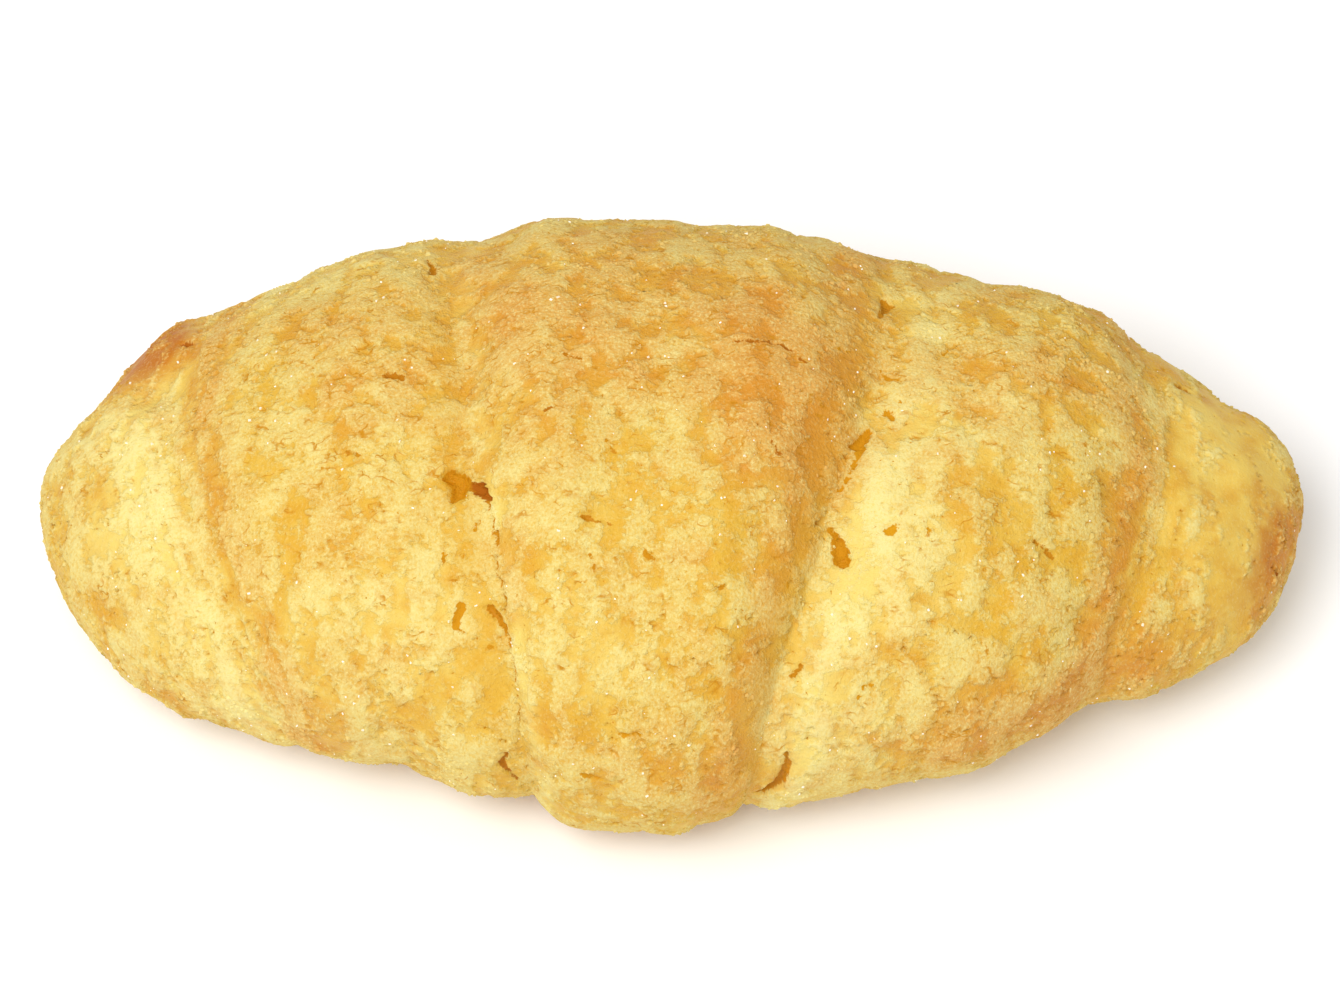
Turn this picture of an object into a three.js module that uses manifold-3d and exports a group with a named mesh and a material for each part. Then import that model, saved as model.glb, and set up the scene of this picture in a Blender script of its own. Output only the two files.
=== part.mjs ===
// A croissant-shaped sweet roll with a crackled biscuit crust, as one solid.
//
// A tapered sheet of dough is rolled up from its wide end, so three turns show. The two ends of the
// innermost turn are the tips, the middle turn shows as a shoulder either side, and the last turn is
// the broad band across the middle, which narrows towards the front, where the sheet ends.
//
// Units are millimetres. X runs along the roll from the left tip to the right one, Y from the front
// to the back, and Z up. The origin is the middle of the footprint, on the surface it stands on.
// A place on the roll is given by x and by an angle round the roll's axis: 0 at the back, 90 on top,
// 180 at the front and 270 underneath. A list of four values gives a size at those four angles.
import * as THREE from "three";
import { mergeVertices } from "three/addons/utils/BufferGeometryUtils.js";
import Module from "manifold-3d";

// ---- Driving sizes ----
const LENGTH = 141.4;
const HALF_LENGTH = LENGTH / 2;

// The innermost turn: its half widths at the middle, and how fast each end tapers. A higher number
// keeps that end full for longer.
const CORE = {
  back: { halfWidth: 31.6, taperLeft: 2.2, taperRight: 1.45 },
  front: { halfWidth: 30.4, taperLeft: 2.75, taperRight: 2.25 },
};
const TAPER_BLEND = 6; // the left taper gives way to the right one over about this much x
const TOP_RATIO = 0.84; // height above the waist for each mm of half width
const UNDER_RATIO = 0.66; // depth below the waist, before the flat base is cut
const TOP_SQUARENESS = 2.1; // 2 is an ellipse
const UNDER_SQUARENESS = 2.6;
const WAIST_HEIGHT = 18; // the widest level above the base, at the middle
const TIP_DROP = 4.5; // how much lower it lies at the tips
const TIP_BEND = 5.2; // how far the tips curve to the back

// The turns on top of it, the inner one first. Each of a turn's two edges has the seam where it
// lies, the furrow along that seam, the width over which the edge is rounded, and the width over
// which the dough beside it dips.
const TURNS = [
  {
    thickness: [1.1, 2.8, 0.9, 0.6],
    left: { seam: [-46, -54.5, -42.5, -40], furrow: [0.3, 0.9, 1, 0.5], edge: 7.5, foot: 6 },
    right: { seam: [49.5, 54.5, 47, 43], furrow: [0.3, 1, 1.3, 0.5], edge: 7.5, foot: 7 },
  },
  {
    thickness: [2, 2.4, 3.2, 2],
    left: { seam: [-23, -23.5, -15.8, -18.5], furrow: [0.1, 1.7, 0.6, 0.3], edge: 7.5, foot: 9 },
    right: { seam: [22.5, 20.5, 8.6, 12], furrow: [-0.3, 3.9, 1.2, 0.3], edge: 10.5, foot: 15 },
  },
];
const EDGE_ROUNDNESS = [1.2, 1.4, 1.8, 1.8]; // 1 is a straight slope, and 2 a quarter of an ellipse
const FOOT_ROUNDNESS = 1.3;
const SEAM_SOFTNESS = [2.2, 1.5, 0.5, 0.5]; // how wide the bottom of a furrow is rounded

// Swellings and hollows of the uneven dough: x, angle, height, and how far they reach along the
// roll in mm and round it in degrees.
const SWELLINGS = [
  { x: -66, angle: 25, height: -2.8, along: 5.4, round: 38 },
  { x: -56, angle: 25, height: 1.1, along: 6, round: 38 },
  { x: -56.5, angle: 66, height: -1.3, along: 3.6, round: 12 },
  { x: -44, angle: 25, height: -0.5, along: 4.7, round: 38 },
  { x: -27, angle: 25, height: 0.5, along: 10, round: 38 },
  { x: 3.5, angle: 25, height: -1.6, along: 8, round: 38 },
  { x: 26, angle: 25, height: 0.8, along: 6.7, round: 38 },
  { x: 48, angle: 25, height: 1.4, along: 2.6, round: 38 },
  { x: 61.5, angle: 25, height: -1.3, along: 3.1, round: 38 },
  { x: -59, angle: 195, height: 1.7, along: 8.6, round: 38 },
  { x: -31, angle: 195, height: -1.9, along: 6.4, round: 38 },
  { x: -9, angle: 195, height: 0.6, along: 7.7, round: 38 },
  { x: 12.5, angle: 195, height: 1.1, along: 8.4, round: 38 },
  { x: 45.5, angle: 195, height: -1.4, along: 7.3, round: 38 },
  { x: 64.5, angle: 195, height: 2.3, along: 6, round: 38 },
];

// Slow waves all over the dough, and the closer ripple of its crust: the height of each wave, and
// the ripple's finest and coarsest pitch.
const DOUGH_WAVES = { high: 0.42, middle: 0.26, low: 0.12 };
const CRUST_RIPPLE = { waves: 9, height: 0.06, finest: 4.5, coarsest: 9 };
const FULL_RELIEF_WIDTH = 15; // waves and ripple fade out where the roll is narrower than this
const FULL_TURN_WIDTH = 8; // and so do the turns

// Tears in the crust, most of them along the seams: x, angle, length and width on the surface, the
// turn of the length from the roll's axis, and depth.
const TEARS = [
  { x: -23.1, angle: 108, length: 3.4, width: 2.4, turn: 30, depth: 2.6 },
  { x: -20.9, angle: 112, length: 2.4, width: 1.5, turn: 10, depth: 1.8 },
  { x: -20.6, angle: 138, length: 1.6, width: 1.2, turn: 70, depth: 1.2 },
  { x: -23.2, angle: 137, length: 1.5, width: 1.1, turn: 80, depth: 1.2 },
  { x: -27.1, angle: 40, length: 1.6, width: 1.2, turn: 60, depth: 1.4 },
  { x: -18.3, angle: 181, length: 3, width: 1.2, turn: 80, depth: 1.6 },
  { x: 17.7, angle: 124, length: 3.4, width: 1.8, turn: 100, depth: 2.2 },
  { x: 20, angle: 97, length: 2.4, width: 1.4, turn: 150, depth: 1.6 },
  { x: 10.1, angle: 184, length: 3.2, width: 1.9, turn: 35, depth: 2 },
  { x: 22.4, angle: 55, length: 2.2, width: 1.2, turn: 110, depth: 1.6 },
  { x: 56.6, angle: 53, length: 2.6, width: 1.9, turn: 20, depth: 1.8 },
  { x: -34.1, angle: 105, length: 3.6, width: 1.1, turn: 165, depth: 0.9 },
  { x: 40.2, angle: 126, length: 3.4, width: 1, turn: 165, depth: 0.9 },
  { x: -3.2, angle: 124, length: 2, width: 1.2, turn: 150, depth: 1.2 },
];

// How fine the solid is: rings along the roll, and steps round it where it shows and underneath.
const RINGS = 84;
const SHOWN_ARC = { from: -25, to: 205, steps: 46 };
const UNDER_STEPS = 14;
const TEAR_DETAIL = 1; // subdivisions of the icosahedron that cuts a tear

const CRUST_COLOUR = 0xe8c066;
const CRUST_ROUGHNESS = 0.8;

// ---- Forms ----
const radians = THREE.MathUtils.degToRad;

// A smooth value round the roll from its values at the back, on top, at the front and underneath.
function around([back, top, front, under], angle) {
  const ends = (back + front) / 2;
  const poles = (top + under) / 2;
  return (
    (ends + poles) / 2 +
    ((back - front) / 2) * Math.cos(angle) +
    ((top - under) / 2) * Math.sin(angle) +
    ((ends - poles) / 2) * Math.cos(2 * angle)
  );
}

// The profile of a rounded edge: 1 at its foot, where t is 0, and 0 where it is flat, from t = 1 on.
function edgeDrop(t, roundness) {
  const rest = 1 - THREE.MathUtils.clamp(t, 0, 1);
  return 1 - (1 - rest ** roundness) ** (1 / roundness);
}

// The innermost turn's half width at x, on its back or its front.
function coreHalfWidth(x, side) {
  const left = 1 / (1 + Math.exp(x / TAPER_BLEND));
  const taper = side.taperLeft * left + side.taperRight * (1 - left);
  const reach = Math.min(Math.abs(x) / HALF_LENGTH, 1);
  return side.halfWidth * Math.sqrt(1 - reach ** taper);
}

// How far the innermost turn reaches from the axis: a superellipse, flatter underneath.
function coreRadius(back, front, angle) {
  const across = Math.cos(angle) > 0 ? back : front;
  const onTop = Math.sin(angle) > 0;
  const upright = ((back + front) / 2) * (onTop ? TOP_RATIO : UNDER_RATIO);
  const squareness = onTop ? TOP_SQUARENESS : UNDER_SQUARENESS;
  const y = Math.abs(Math.cos(angle)) / across;
  const z = Math.abs(Math.sin(angle)) / upright;
  return (y ** squareness + z ** squareness) ** (-1 / squareness);
}

// What one turn adds to the radius: its thickness inside its seams, less the furrow along them.
function turnHeight(turn, x, angle) {
  const fromLeft = x - around(turn.left.seam, angle);
  const fromRight = around(turn.right.seam, angle) - x;
  const side = fromLeft < fromRight ? turn.left : turn.right;
  const inside = Math.min(fromLeft, fromRight);
  const softness = around(SEAM_SOFTNESS, angle);
  const away = Math.hypot(inside, softness) - softness;
  const furrow = around(side.furrow, angle);
  if (inside < 0) return -furrow * edgeDrop(away / side.foot, FOOT_ROUNDNESS);
  const drop = edgeDrop(away / side.edge, around(EDGE_ROUNDNESS, angle));
  return around(turn.thickness, angle) * (1 - drop) - furrow * drop;
}

function swellingHeight(swelling, x, angle) {
  const fullTurn = 2 * Math.PI;
  const ahead = THREE.MathUtils.euclideanModulo(angle - radians(swelling.angle), fullTurn);
  const apart = Math.min(ahead, fullTurn - ahead);
  const along = (x - swelling.x) / swelling.along;
  const round = apart / radians(swelling.round);
  return swelling.height * Math.exp(-(along ** 2) - round ** 2);
}

// The slow unevenness of hand-rolled dough: three waves that never line up.
function waveHeight(x, angle) {
  const { sin, cos } = Math;
  const high = sin(0.21 * x + 1.3 * sin(angle) + 0.6) * sin(2 * angle + 0.05 * x + 1.1);
  const middle = sin(0.47 * x + 3 * cos(angle) + 2) * cos(3 * angle - 0.11 * x);
  const low = sin(0.93 * x - 4 * sin(angle) + 0.3) * cos(5 * angle + 0.2 * x + 0.8);
  return DOUGH_WAVES.high * high + DOUGH_WAVES.middle * middle + DOUGH_WAVES.low * low;
}

// The crust's ripple: plane waves in directions spread evenly over a sphere, each with its own pitch.
function rippleHeight(x, y, z) {
  const goldenTurn = Math.PI * (3 - Math.sqrt(5));
  const goldenShare = 0.618;
  const { waves, height, finest, coarsest } = CRUST_RIPPLE;
  let sum = 0;
  for (let i = 0; i < waves; i += 1) {
    const up = 1 - (2 * i + 1) / waves;
    const level = Math.sqrt(1 - up ** 2);
    const travel = level * (Math.cos(i * goldenTurn) * x + Math.sin(i * goldenTurn) * y) + up * z;
    const pitch = finest + (coarsest - finest) * ((i * goldenShare) % 1);
    sum += Math.sin((2 * Math.PI * travel) / pitch + i);
  }
  return height * sum;
}

// The roll's surface at x and angle. At the very tips it is one point on the axis.
function surfacePoint(x, angle) {
  const back = coreHalfWidth(x, CORE.back);
  const front = coreHalfWidth(x, CORE.front);
  const reach = Math.abs(x) / HALF_LENGTH;
  const axisY = TIP_BEND * reach ** 2;
  const axisZ = WAIST_HEIGHT - TIP_DROP * reach ** 2;
  if (back === 0) return new THREE.Vector3(x, axisY, axisZ);

  const width = (back + front) / 2;
  const core = coreRadius(back, front, angle);
  const ripple = rippleHeight(x, core * Math.cos(angle), core * Math.sin(angle));
  const relief = (waveHeight(x, angle) + ripple) * Math.min(width / FULL_RELIEF_WIDTH, 1);
  const turns = TURNS.reduce((sum, turn) => sum + turnHeight(turn, x, angle), 0);
  const swellings = SWELLINGS.reduce((sum, swelling) => sum + swellingHeight(swelling, x, angle), 0);
  const radius = core + (turns + swellings + relief) * Math.min(width / FULL_TURN_WIDTH, 1);
  const z = axisZ + radius * Math.sin(angle);
  return new THREE.Vector3(x, axisY + radius * Math.cos(angle), Math.max(z, 0));
}

// The places of the rings along x, evenly spaced along the roll's outline seen from above.
function ringPlaces() {
  const samples = 2000;
  const outline = Array.from({ length: samples + 1 }, (_, i) => {
    const x = -HALF_LENGTH * Math.cos((Math.PI * i) / samples);
    return new THREE.Vector2(x, (coreHalfWidth(x, CORE.back) + coreHalfWidth(x, CORE.front)) / 2);
  });
  const travelled = [0];
  for (let i = 1; i <= samples; i += 1) {
    travelled.push(travelled[i - 1] + outline[i].distanceTo(outline[i - 1]));
  }
  return Array.from({ length: RINGS }, (_, ring) => {
    const wanted = (travelled[samples] * (ring + 1)) / (RINGS + 1);
    return outline[travelled.findIndex((length) => length >= wanted)].x;
  });
}

// The angles of the steps round the roll: close together where it shows, and wider underneath.
function stepAngles() {
  const { from, to, steps } = SHOWN_ARC;
  const hidden = from + 360 - to;
  const shown = Array.from({ length: steps }, (_, i) => from + ((to - from) * i) / steps);
  const under = Array.from({ length: UNDER_STEPS }, (_, i) => to + (hidden * i) / UNDER_STEPS);
  return [...shown, ...under].map(radians);
}

// A closed skin of rings from tip to tip, with a point at each tip.
function rollGeometry() {
  const angles = stepAngles();
  const count = angles.length;
  const points = ringPlaces().flatMap((x) => angles.map((angle) => surfacePoint(x, angle)));
  const leftTip = points.push(surfacePoint(-HALF_LENGTH, 0)) - 1;
  const rightTip = points.push(surfacePoint(HALF_LENGTH, 0)) - 1;

  const faces = [];
  for (let step = 0; step < count; step += 1) {
    const next = (step + 1) % count;
    faces.push(leftTip, next, step);
    for (let ring = 0; ring < RINGS - 1; ring += 1) {
      const here = ring * count;
      const there = here + count;
      faces.push(here + step, here + next, there + step);
      faces.push(here + next, there + next, there + step);
    }
    const last = (RINGS - 1) * count;
    faces.push(rightTip, last + step, last + next);
  }
  const geometry = new THREE.BufferGeometry().setFromPoints(points);
  geometry.setIndex(faces);
  return geometry;
}

// The ellipsoid that cuts one tear, centred on the crust and turned to lie along it.
function tearGeometry(tear) {
  const angle = radians(tear.angle);
  const step = { x: 0.5, angle: radians(1) }; // how far away the crust's slope is read
  const centre = surfacePoint(tear.x, angle);
  const along = surfacePoint(tear.x + step.x, angle).sub(centre).normalize();
  const round = surfacePoint(tear.x, angle + step.angle).sub(centre).normalize();
  const outward = new THREE.Vector3().crossVectors(round, along).normalize();
  const across = new THREE.Vector3().crossVectors(outward, along);
  const place = new THREE.Matrix4().makeBasis(along, across, outward);
  place.multiply(new THREE.Matrix4().makeRotationZ(radians(tear.turn)));
  place.scale(new THREE.Vector3(tear.length / 2, tear.width / 2, tear.depth));
  return new THREE.IcosahedronGeometry(1, TEAR_DETAIL).applyMatrix4(place.setPosition(centre));
}

// ---- Joining and cutting ----
const wasm = await Module();
wasm.setup();

function solidOf(geometry) {
  const bare = geometry.clone();
  bare.deleteAttribute("normal");
  bare.deleteAttribute("uv");
  const merged = mergeVertices(bare);
  const mesh = { numProp: 3, vertProperties: merged.attributes.position.array, triVerts: merged.index.array };
  return new wasm.Manifold(new wasm.Mesh(mesh));
}

function geometryOf(solid) {
  const mesh = solid.getMesh();
  const geometry = new THREE.BufferGeometry();
  geometry.setAttribute("position", new THREE.BufferAttribute(mesh.vertProperties, 3));
  geometry.setIndex(new THREE.BufferAttribute(mesh.triVerts, 1));
  return geometry;
}

// The whole roll with its tears cut, centred over its footprint.
function croissantGeometry() {
  let roll = solidOf(rollGeometry());
  for (const tear of TEARS) roll = roll.subtract(solidOf(tearGeometry(tear)));
  const geometry = geometryOf(roll);
  geometry.computeBoundingBox();
  const middle = geometry.boundingBox.getCenter(new THREE.Vector3());
  geometry.translate(-middle.x, -middle.y, 0);
  geometry.computeVertexNormals();
  return geometry;
}

// ---- The part ----
const crust = new THREE.MeshStandardMaterial({
  color: CRUST_COLOUR,
  roughness: CRUST_ROUGHNESS,
  metalness: 0,
});
const croissant = new THREE.Mesh(croissantGeometry(), crust);
croissant.name = "croissant";

const part = new THREE.Group();
part.add(croissant);

export default part;
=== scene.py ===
"""A croissant-shaped sweet roll with a crackled biscuit crust.

The roll is one closed mesh: a spindle of dough wound in broad turns, with the crust's flakes, cracks, pits and tears
raised in it by a Geometry Nodes tree. Crumbs and crystals of sugar lie on it as pieces of their own.
"""
import math

import bmesh
import bpy
import numpy as np
from bpy.props import FloatProperty, FloatVectorProperty, IntProperty, PointerProperty
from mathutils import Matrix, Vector


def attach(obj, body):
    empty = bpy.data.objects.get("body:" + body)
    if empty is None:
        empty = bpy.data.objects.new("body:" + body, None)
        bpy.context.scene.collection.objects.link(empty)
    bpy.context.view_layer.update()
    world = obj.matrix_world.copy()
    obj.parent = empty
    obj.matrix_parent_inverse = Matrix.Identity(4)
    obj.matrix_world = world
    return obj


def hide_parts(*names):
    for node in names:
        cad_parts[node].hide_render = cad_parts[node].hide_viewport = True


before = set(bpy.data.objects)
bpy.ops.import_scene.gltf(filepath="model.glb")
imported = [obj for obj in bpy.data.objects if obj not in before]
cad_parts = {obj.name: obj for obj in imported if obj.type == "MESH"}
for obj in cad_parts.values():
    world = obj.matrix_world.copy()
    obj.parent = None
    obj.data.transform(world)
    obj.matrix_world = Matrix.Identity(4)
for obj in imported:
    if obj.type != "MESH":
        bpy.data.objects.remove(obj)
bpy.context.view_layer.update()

bl_info = {
    "name": "Croissant-shaped sweet roll",
    "version": (1, 0, 0),
    "blender": (4, 5, 0),
    "location": "3D View > Sidebar > Sweet roll",
    "description": "Makes a croissant-shaped sweet roll with a crackled biscuit crust",
    "category": "Object",
}

MM = 0.001
BODY = "root"
CAD_NODE = "croissant"
PER_CM2 = 1e4  # turns a number for each square centimetre into one for each square metre


# --- The roll's form, in millimetres and radians. An angle of 0 is the back, 90 degrees the top, 180 the front.

LENGTH = 141.4
HALF = LENGTH / 2
CENTRE_SHIFT = 0.44
CORE_BACK = {"half_width": 31.6, "taper_left": 2.2, "taper_right": 1.45}
CORE_FRONT = {"half_width": 30.4, "taper_left": 2.75, "taper_right": 2.25}
TAPER_BLEND = 6
TOP_RATIO = 0.84
UNDER_RATIO = 0.66
TOP_SQUARENESS = 2.1
UNDER_SQUARENESS = 2.6
WAIST_HEIGHT = 18.0
TIP_DROP = 4.5
TIP_BEND = 5.2

# Each list of four is a size at the back, the top, the front and underneath.
OUTER_TURN = {
    "thickness": [1.1, 2.8, 0.9, 0.6], "softness": [3.0, 3.2, 3.2, 2.0],
    "left": {"seam": [-46, -54.5, -42.5, -40], "gutter": [0.3, 0.9, 1.0, 0.5], "edge": 7.5, "foot": 6},
    "right": {"seam": [49.5, 54.5, 47, 43], "gutter": [0.3, 1.0, 1.3, 0.5], "edge": 7.5, "foot": 7},
}
MIDDLE_TURN = {
    "thickness": [2.0, 2.4, 3.2, 2], "softness": [2.2, 1.5, 0.5, 0.5],
    "left": {"seam": [-23, -22.3, -15.5, -18.5], "gutter": [0.1, 1.7, 0.6, 0.3], "edge": 7.5, "foot": 9},
    "right": {"seam": [22.5, 20.5, 8.6, 12], "gutter": [-0.3, 3.9, 1.2, 0.3], "edge": 10.5, "foot": 15},
}
TURNS = [OUTER_TURN, MIDDLE_TURN]
EDGE_ROUNDNESS = [1.2, 1.4, 1.8, 1.8]
FOOT_ROUNDNESS = 1.3

# Swellings and hollows of the dough: place along the roll, angle in degrees, height, and reach along and around.
SWELLINGS = [
    (-66, 25, -2.8, 5.4, 38), (-56, 25, 1.1, 6, 38), (-56.5, 66, -1.3, 3.6, 12), (-44, 25, -0.5, 4.7, 38),
    (-27, 25, 0.5, 10, 38), (3.5, 25, -1.6, 8, 38), (26, 25, 0.8, 6.7, 38), (48, 25, 1.4, 2.6, 38),
    (61.5, 25, -1.3, 3.1, 38), (-59, 195, 1.7, 8.6, 38), (-31, 195, -1.9, 6.4, 38), (-9, 195, 0.6, 7.7, 38),
    (12.5, 195, 1.1, 8.4, 38), (45.5, 195, -1.4, 7.3, 38), (64.5, 195, 2.3, 6, 38),
]
WAVE_HEIGHTS = (0.42, 0.26, 0.12)
WOBBLES = ((0.25, 7, 0, 1.3), (0.1, 17, 0.3, 0), (0.06, 31, -0.4, 0))  # size, waves around, slant, start
GOLDEN_ANGLE = math.pi * (3 - math.sqrt(5))
GOLDEN_SHARE = 0.618
RIPPLE_WAVES = 9
RIPPLE_HEIGHT = 0.045
RIPPLE_FINEST = 4.5
RIPPLE_COARSEST = 9
FULL_RELIEF_WIDTH = 15
FULL_TURN_WIDTH = 8

# Tears and cracks in the crust: depth, how much painted shade darkens the inside, and a chain of places (x, angle in
# degrees, half width).
TEARS = [
    (1.6, 0.35, ((-23.7, 107.5, 0.85), (-22.6, 108.8, 1.2), (-22.9, 111, 0.8), (-23.9, 113.7, 0.2))),
    (1.4, 1, ((-21.5, 109.5, 0.56), (-20.6, 110.5, 0.67), (-19.8, 112.6, 0.28))),
    (1, 0.5, ((-19.8, 113, 0.24), (-19.4, 115.8, 0.3), (-18.9, 119.3, 0.26), (-18.6, 123.8, 0.25),
              (-18.5, 128.7, 0.24), (-17.9, 133.3, 0.24), (-17.9, 136.1, 0.26))),
    (1, 0.45, ((-19.5, 136.1, 0.39), (-18.3, 138.5, 0.56), (-17.7, 141, 0.26), (-17.3, 144.5, 0.25),
               (-16.8, 148.7, 0.25), (-16.7, 155, 0.22), (-16.4, 163, 0.16))),
    (0.6, 0.3, ((-24.3, 124.2, 0.33), (-24.5, 126.6, 0.24))),
    (0.5, 0.3, ((-22.5, 125.2, 0.31), (-22.4, 125.6, 0.22))),
    (0.5, 0.4, ((-22.8, 128.7, 0.18), (-23.1, 130.5, 0.29), (-23.7, 130.5, 0.14))),
    (0.8, 0.3, ((-22.5, 136.1, 0.47), (-23, 138.9, 0.5), (-23.3, 140.6, 0.33), (-22.4, 141.7, 0.22))),
    (0.5, 0.3, ((-20.7, 117.5, 0.18), (-21.3, 120, 0.2))),
    (1, 0.8, ((-18, 171.8, 0.24), (-18.5, 176, 0.4), (-17.9, 179.1, 0.38), (-17, 183.7, 0.22))),
    (0.9, 0.6, ((-26.9, 43.3, 0.22), (-26.3, 45.8, 0.47), (-26.3, 48.2, 0.44))),
    (0.9, 0.5, ((23.4, 49.3, 0.28), (23.4, 52.4, 0.56), (22.8, 57.7, 0.28), (24.1, 52.1, 0.22))),
    (0.7, 0.3, ((22.9, 86.7, 0.24), (23.8, 89.2, 0.44), (22.9, 88.1, 0.17))),
    (0.5, 0.3, ((25, 85, 0.16), (24.3, 86.7, 0.16))),
    (1, 0.3, ((21.3, 93.4, 0.39), (20.2, 97.2, 0.72), (19, 98.6, 0.17))),
    (0.7, 0.3, ((20.4, 98.6, 0.44), (19.8, 102.5, 0.29), (18.9, 106.3, 0.24), (18, 109.8, 0.13))),
    (1.3, 0.35, ((15.4, 117.5, 0.13), (17.1, 119.6, 0.27), (17.8, 122.1, 0.66), (18.1, 124.5, 0.95),
                 (18.3, 127, 0.8))),
    (0.5, 0.15, ((22.8, 120, 0.22), (23.4, 120, 0.56), (24.1, 118.6, 0.33))),
    (0.4, 0.2, ((27.6, 119.6, 0.24), (27.6, 120.3, 0.22))),
    (0.6, 0.5, ((13.9, 150.1, 0.28), (13.3, 151.5, 0.38), (12.7, 153.6, 0.18))),
    (0.5, 0.2, ((21.9, 154.6, 0.16), (20.7, 154.3, 0.24), (19.9, 158.5, 0.14))),
    (1.2, 0.55, ((12.4, 172.1, 0.18), (12.7, 176, 0.33), (11.7, 182.6, 0.72), (10.5, 185.1, 0.67),
                 (9.4, 186.5, 0.22))),
    (0.6, 0.5, ((-9.8, 116.1, 0.2), (-8.9, 116.8, 0.44), (-8.1, 117.5, 0.18))),
    (0.4, 0.5, ((-7.7, 117.2, 0.11), (-6.2, 117.9, 0.11))),
    (0.5, 0.4, ((-3.3, 122.4, 0.22), (-2.4, 123.8, 0.4), (-1.8, 124.5, 0.18))),
    (0.4, 0.4, ((-6.9, 101.1, 0.11), (-6.6, 103.2, 0.24), (-5.9, 103.5, 0.16))),
    (0.4, 0.7, ((-12, 81.5, 0.13), (-10.8, 82.5, 0.24), (-9.8, 83.2, 0.11))),
    (0.5, 0.7, ((-31.1, 83.2, 0.13), (-30, 82.9, 0.31), (-29, 83.2, 0.13))),
    (0.6, 0.5, ((39.1, 123.5, 0.11), (39.9, 125.2, 0.18), (40.8, 127.7, 0.33), (41.5, 129.4, 0.11))),
    (0.4, 0.5, ((-35.1, 102.1, 0.13), (-33.8, 103.2, 0.2), (-32.1, 105.3, 0.13))),
    (0.4, 0.5, ((-8.7, 123.5, 0.11), (-8, 125.9, 0.13), (-8.4, 126.6, 0.11))),
    (0.4, 0.3, ((-6.3, 157.8, 0.13), (-4.8, 158.1, 0.27), (-3.3, 157.8, 0.13))),
    (0.4, 0.3, ((-9.9, 168.3, 0.18), (-8.9, 169.3, 0.27), (-7.5, 170, 0.13))),
    (1, 1.5, ((-54.3, 48.2, 0.24), (-53.3, 49.6, 0.38))),
    (0.8, 0.6, ((55.8, 54.5, 0.22), (56.8, 54.2, 0.44), (57.9, 53.8, 0.18))),
    (0.7, 1.3, ((66.7, 157.4, 0.16), (67.2, 165.1, 0.29))),
    (0.5, 0.9, ((10.3, 100.4, 0.13), (11.1, 102.1, 0.18), (11.4, 103.5, 0.29))),
    (0.4, 0.9, ((6.6, 78.7, 0.1), (9.1, 79, 0.12), (11.1, 78, 0.13), (12, 78.7, 0.27), (12.9, 79.4, 0.11))),
    (0.4, 0.9, ((13.6, 80.4, 0.11), (14.1, 81.5, 0.22))),
    (0.4, 0.4, ((5.1, 129.8, 0.24), (6, 129.1, 0.16))),
    (0.5, 0.25, ((29.5, 69.6, 0.31), (30.1, 68.2, 0.18))),
    (0.4, 0.8, ((-15.2, 96.5, 0.1), (-13.7, 95.8, 0.14), (-12.3, 93.7, 0.1))),
    (0.4, 0.3, ((-20.1, 144.5, 0.24), (-18.9, 144.1, 0.16))),
    (0.4, 0.3, ((-20.7, 157.4, 0.13), (-19.8, 157.8, 0.24))),
    (0.4, 0.4, ((22.6, 74.5, 0.18), (23.5, 77.3, 0.16), (25, 78.7, 0.11))),
    (0.4, 0.3, ((17.7, 74.5, 0.1), (19.6, 73.1, 0.12))),
    (0.4, 0.3, ((12.3, 130.1, 0.11), (12.6, 131.9, 0.2))),
]
TEAR_REACH = 3.0  # how far outside a tear its edge is still worked out
LEAST_TEAR = 0.16  # half width of the finest tear that the mesh can show

# The smooth form's grid in millimetres, and how many triangles are left when it is thinned.
GRID, QUICK_GRID = 0.33, 0.6
MOST_TRIANGLES, QUICK_TRIANGLES = 192000, 60000
RING_EXCESS = 1.12  # rings lie closer together at the tips, so there are more than the length over the spacing
SHOWN_ARC, SHOWN_GIRTH = (-25, 205), 150  # degrees and millimetres of the girth that shows
HIDDEN_ARC, HIDDEN_GIRTH = (205, 335), 60  # the same for the underside, with wider steps


def around(sizes, angle):
    """The size at an angle, from the four at the back, the top, the front and underneath."""
    back, top, front, under = sizes
    ends = (back + front) / 2
    poles = (top + under) / 2
    turning = (back - front) / 2 * np.cos(angle) + (top - under) / 2 * np.sin(angle)
    return (ends + poles) / 2 + turning + (ends - poles) / 2 * np.cos(2 * angle)


def edge_drop(share, roundness):
    """How far a rounded edge has dropped, from 1 at its foot to 0 at its full height."""
    rest = 1 - np.clip(share, 0, 1)
    return 1 - (1 - rest ** roundness) ** (1 / roundness)


def core_half_width(x, side):
    """Half the width of the rolled core on one side, at a place along the roll."""
    left = 1 / (1 + np.exp(x / TAPER_BLEND))
    taper = side["taper_left"] * left + side["taper_right"] * (1 - left)
    reach = np.minimum(np.abs(x) / HALF, 1)
    return side["half_width"] * np.sqrt(np.maximum(1 - reach ** taper, 1e-12))


def core_radius(back, front, angle):
    """Distance from the axis to the core's surface, on a squared oval."""
    across = np.where(np.cos(angle) > 0, back, front)
    upper = np.sin(angle) > 0
    upright = (back + front) / 2 * np.where(upper, TOP_RATIO, UNDER_RATIO)
    power = np.where(upper, TOP_SQUARENESS, UNDER_SQUARENESS)
    level = (np.abs(np.cos(angle)) / across) ** power + (np.abs(np.sin(angle)) / upright) ** power
    return level ** (-1 / power)


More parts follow.
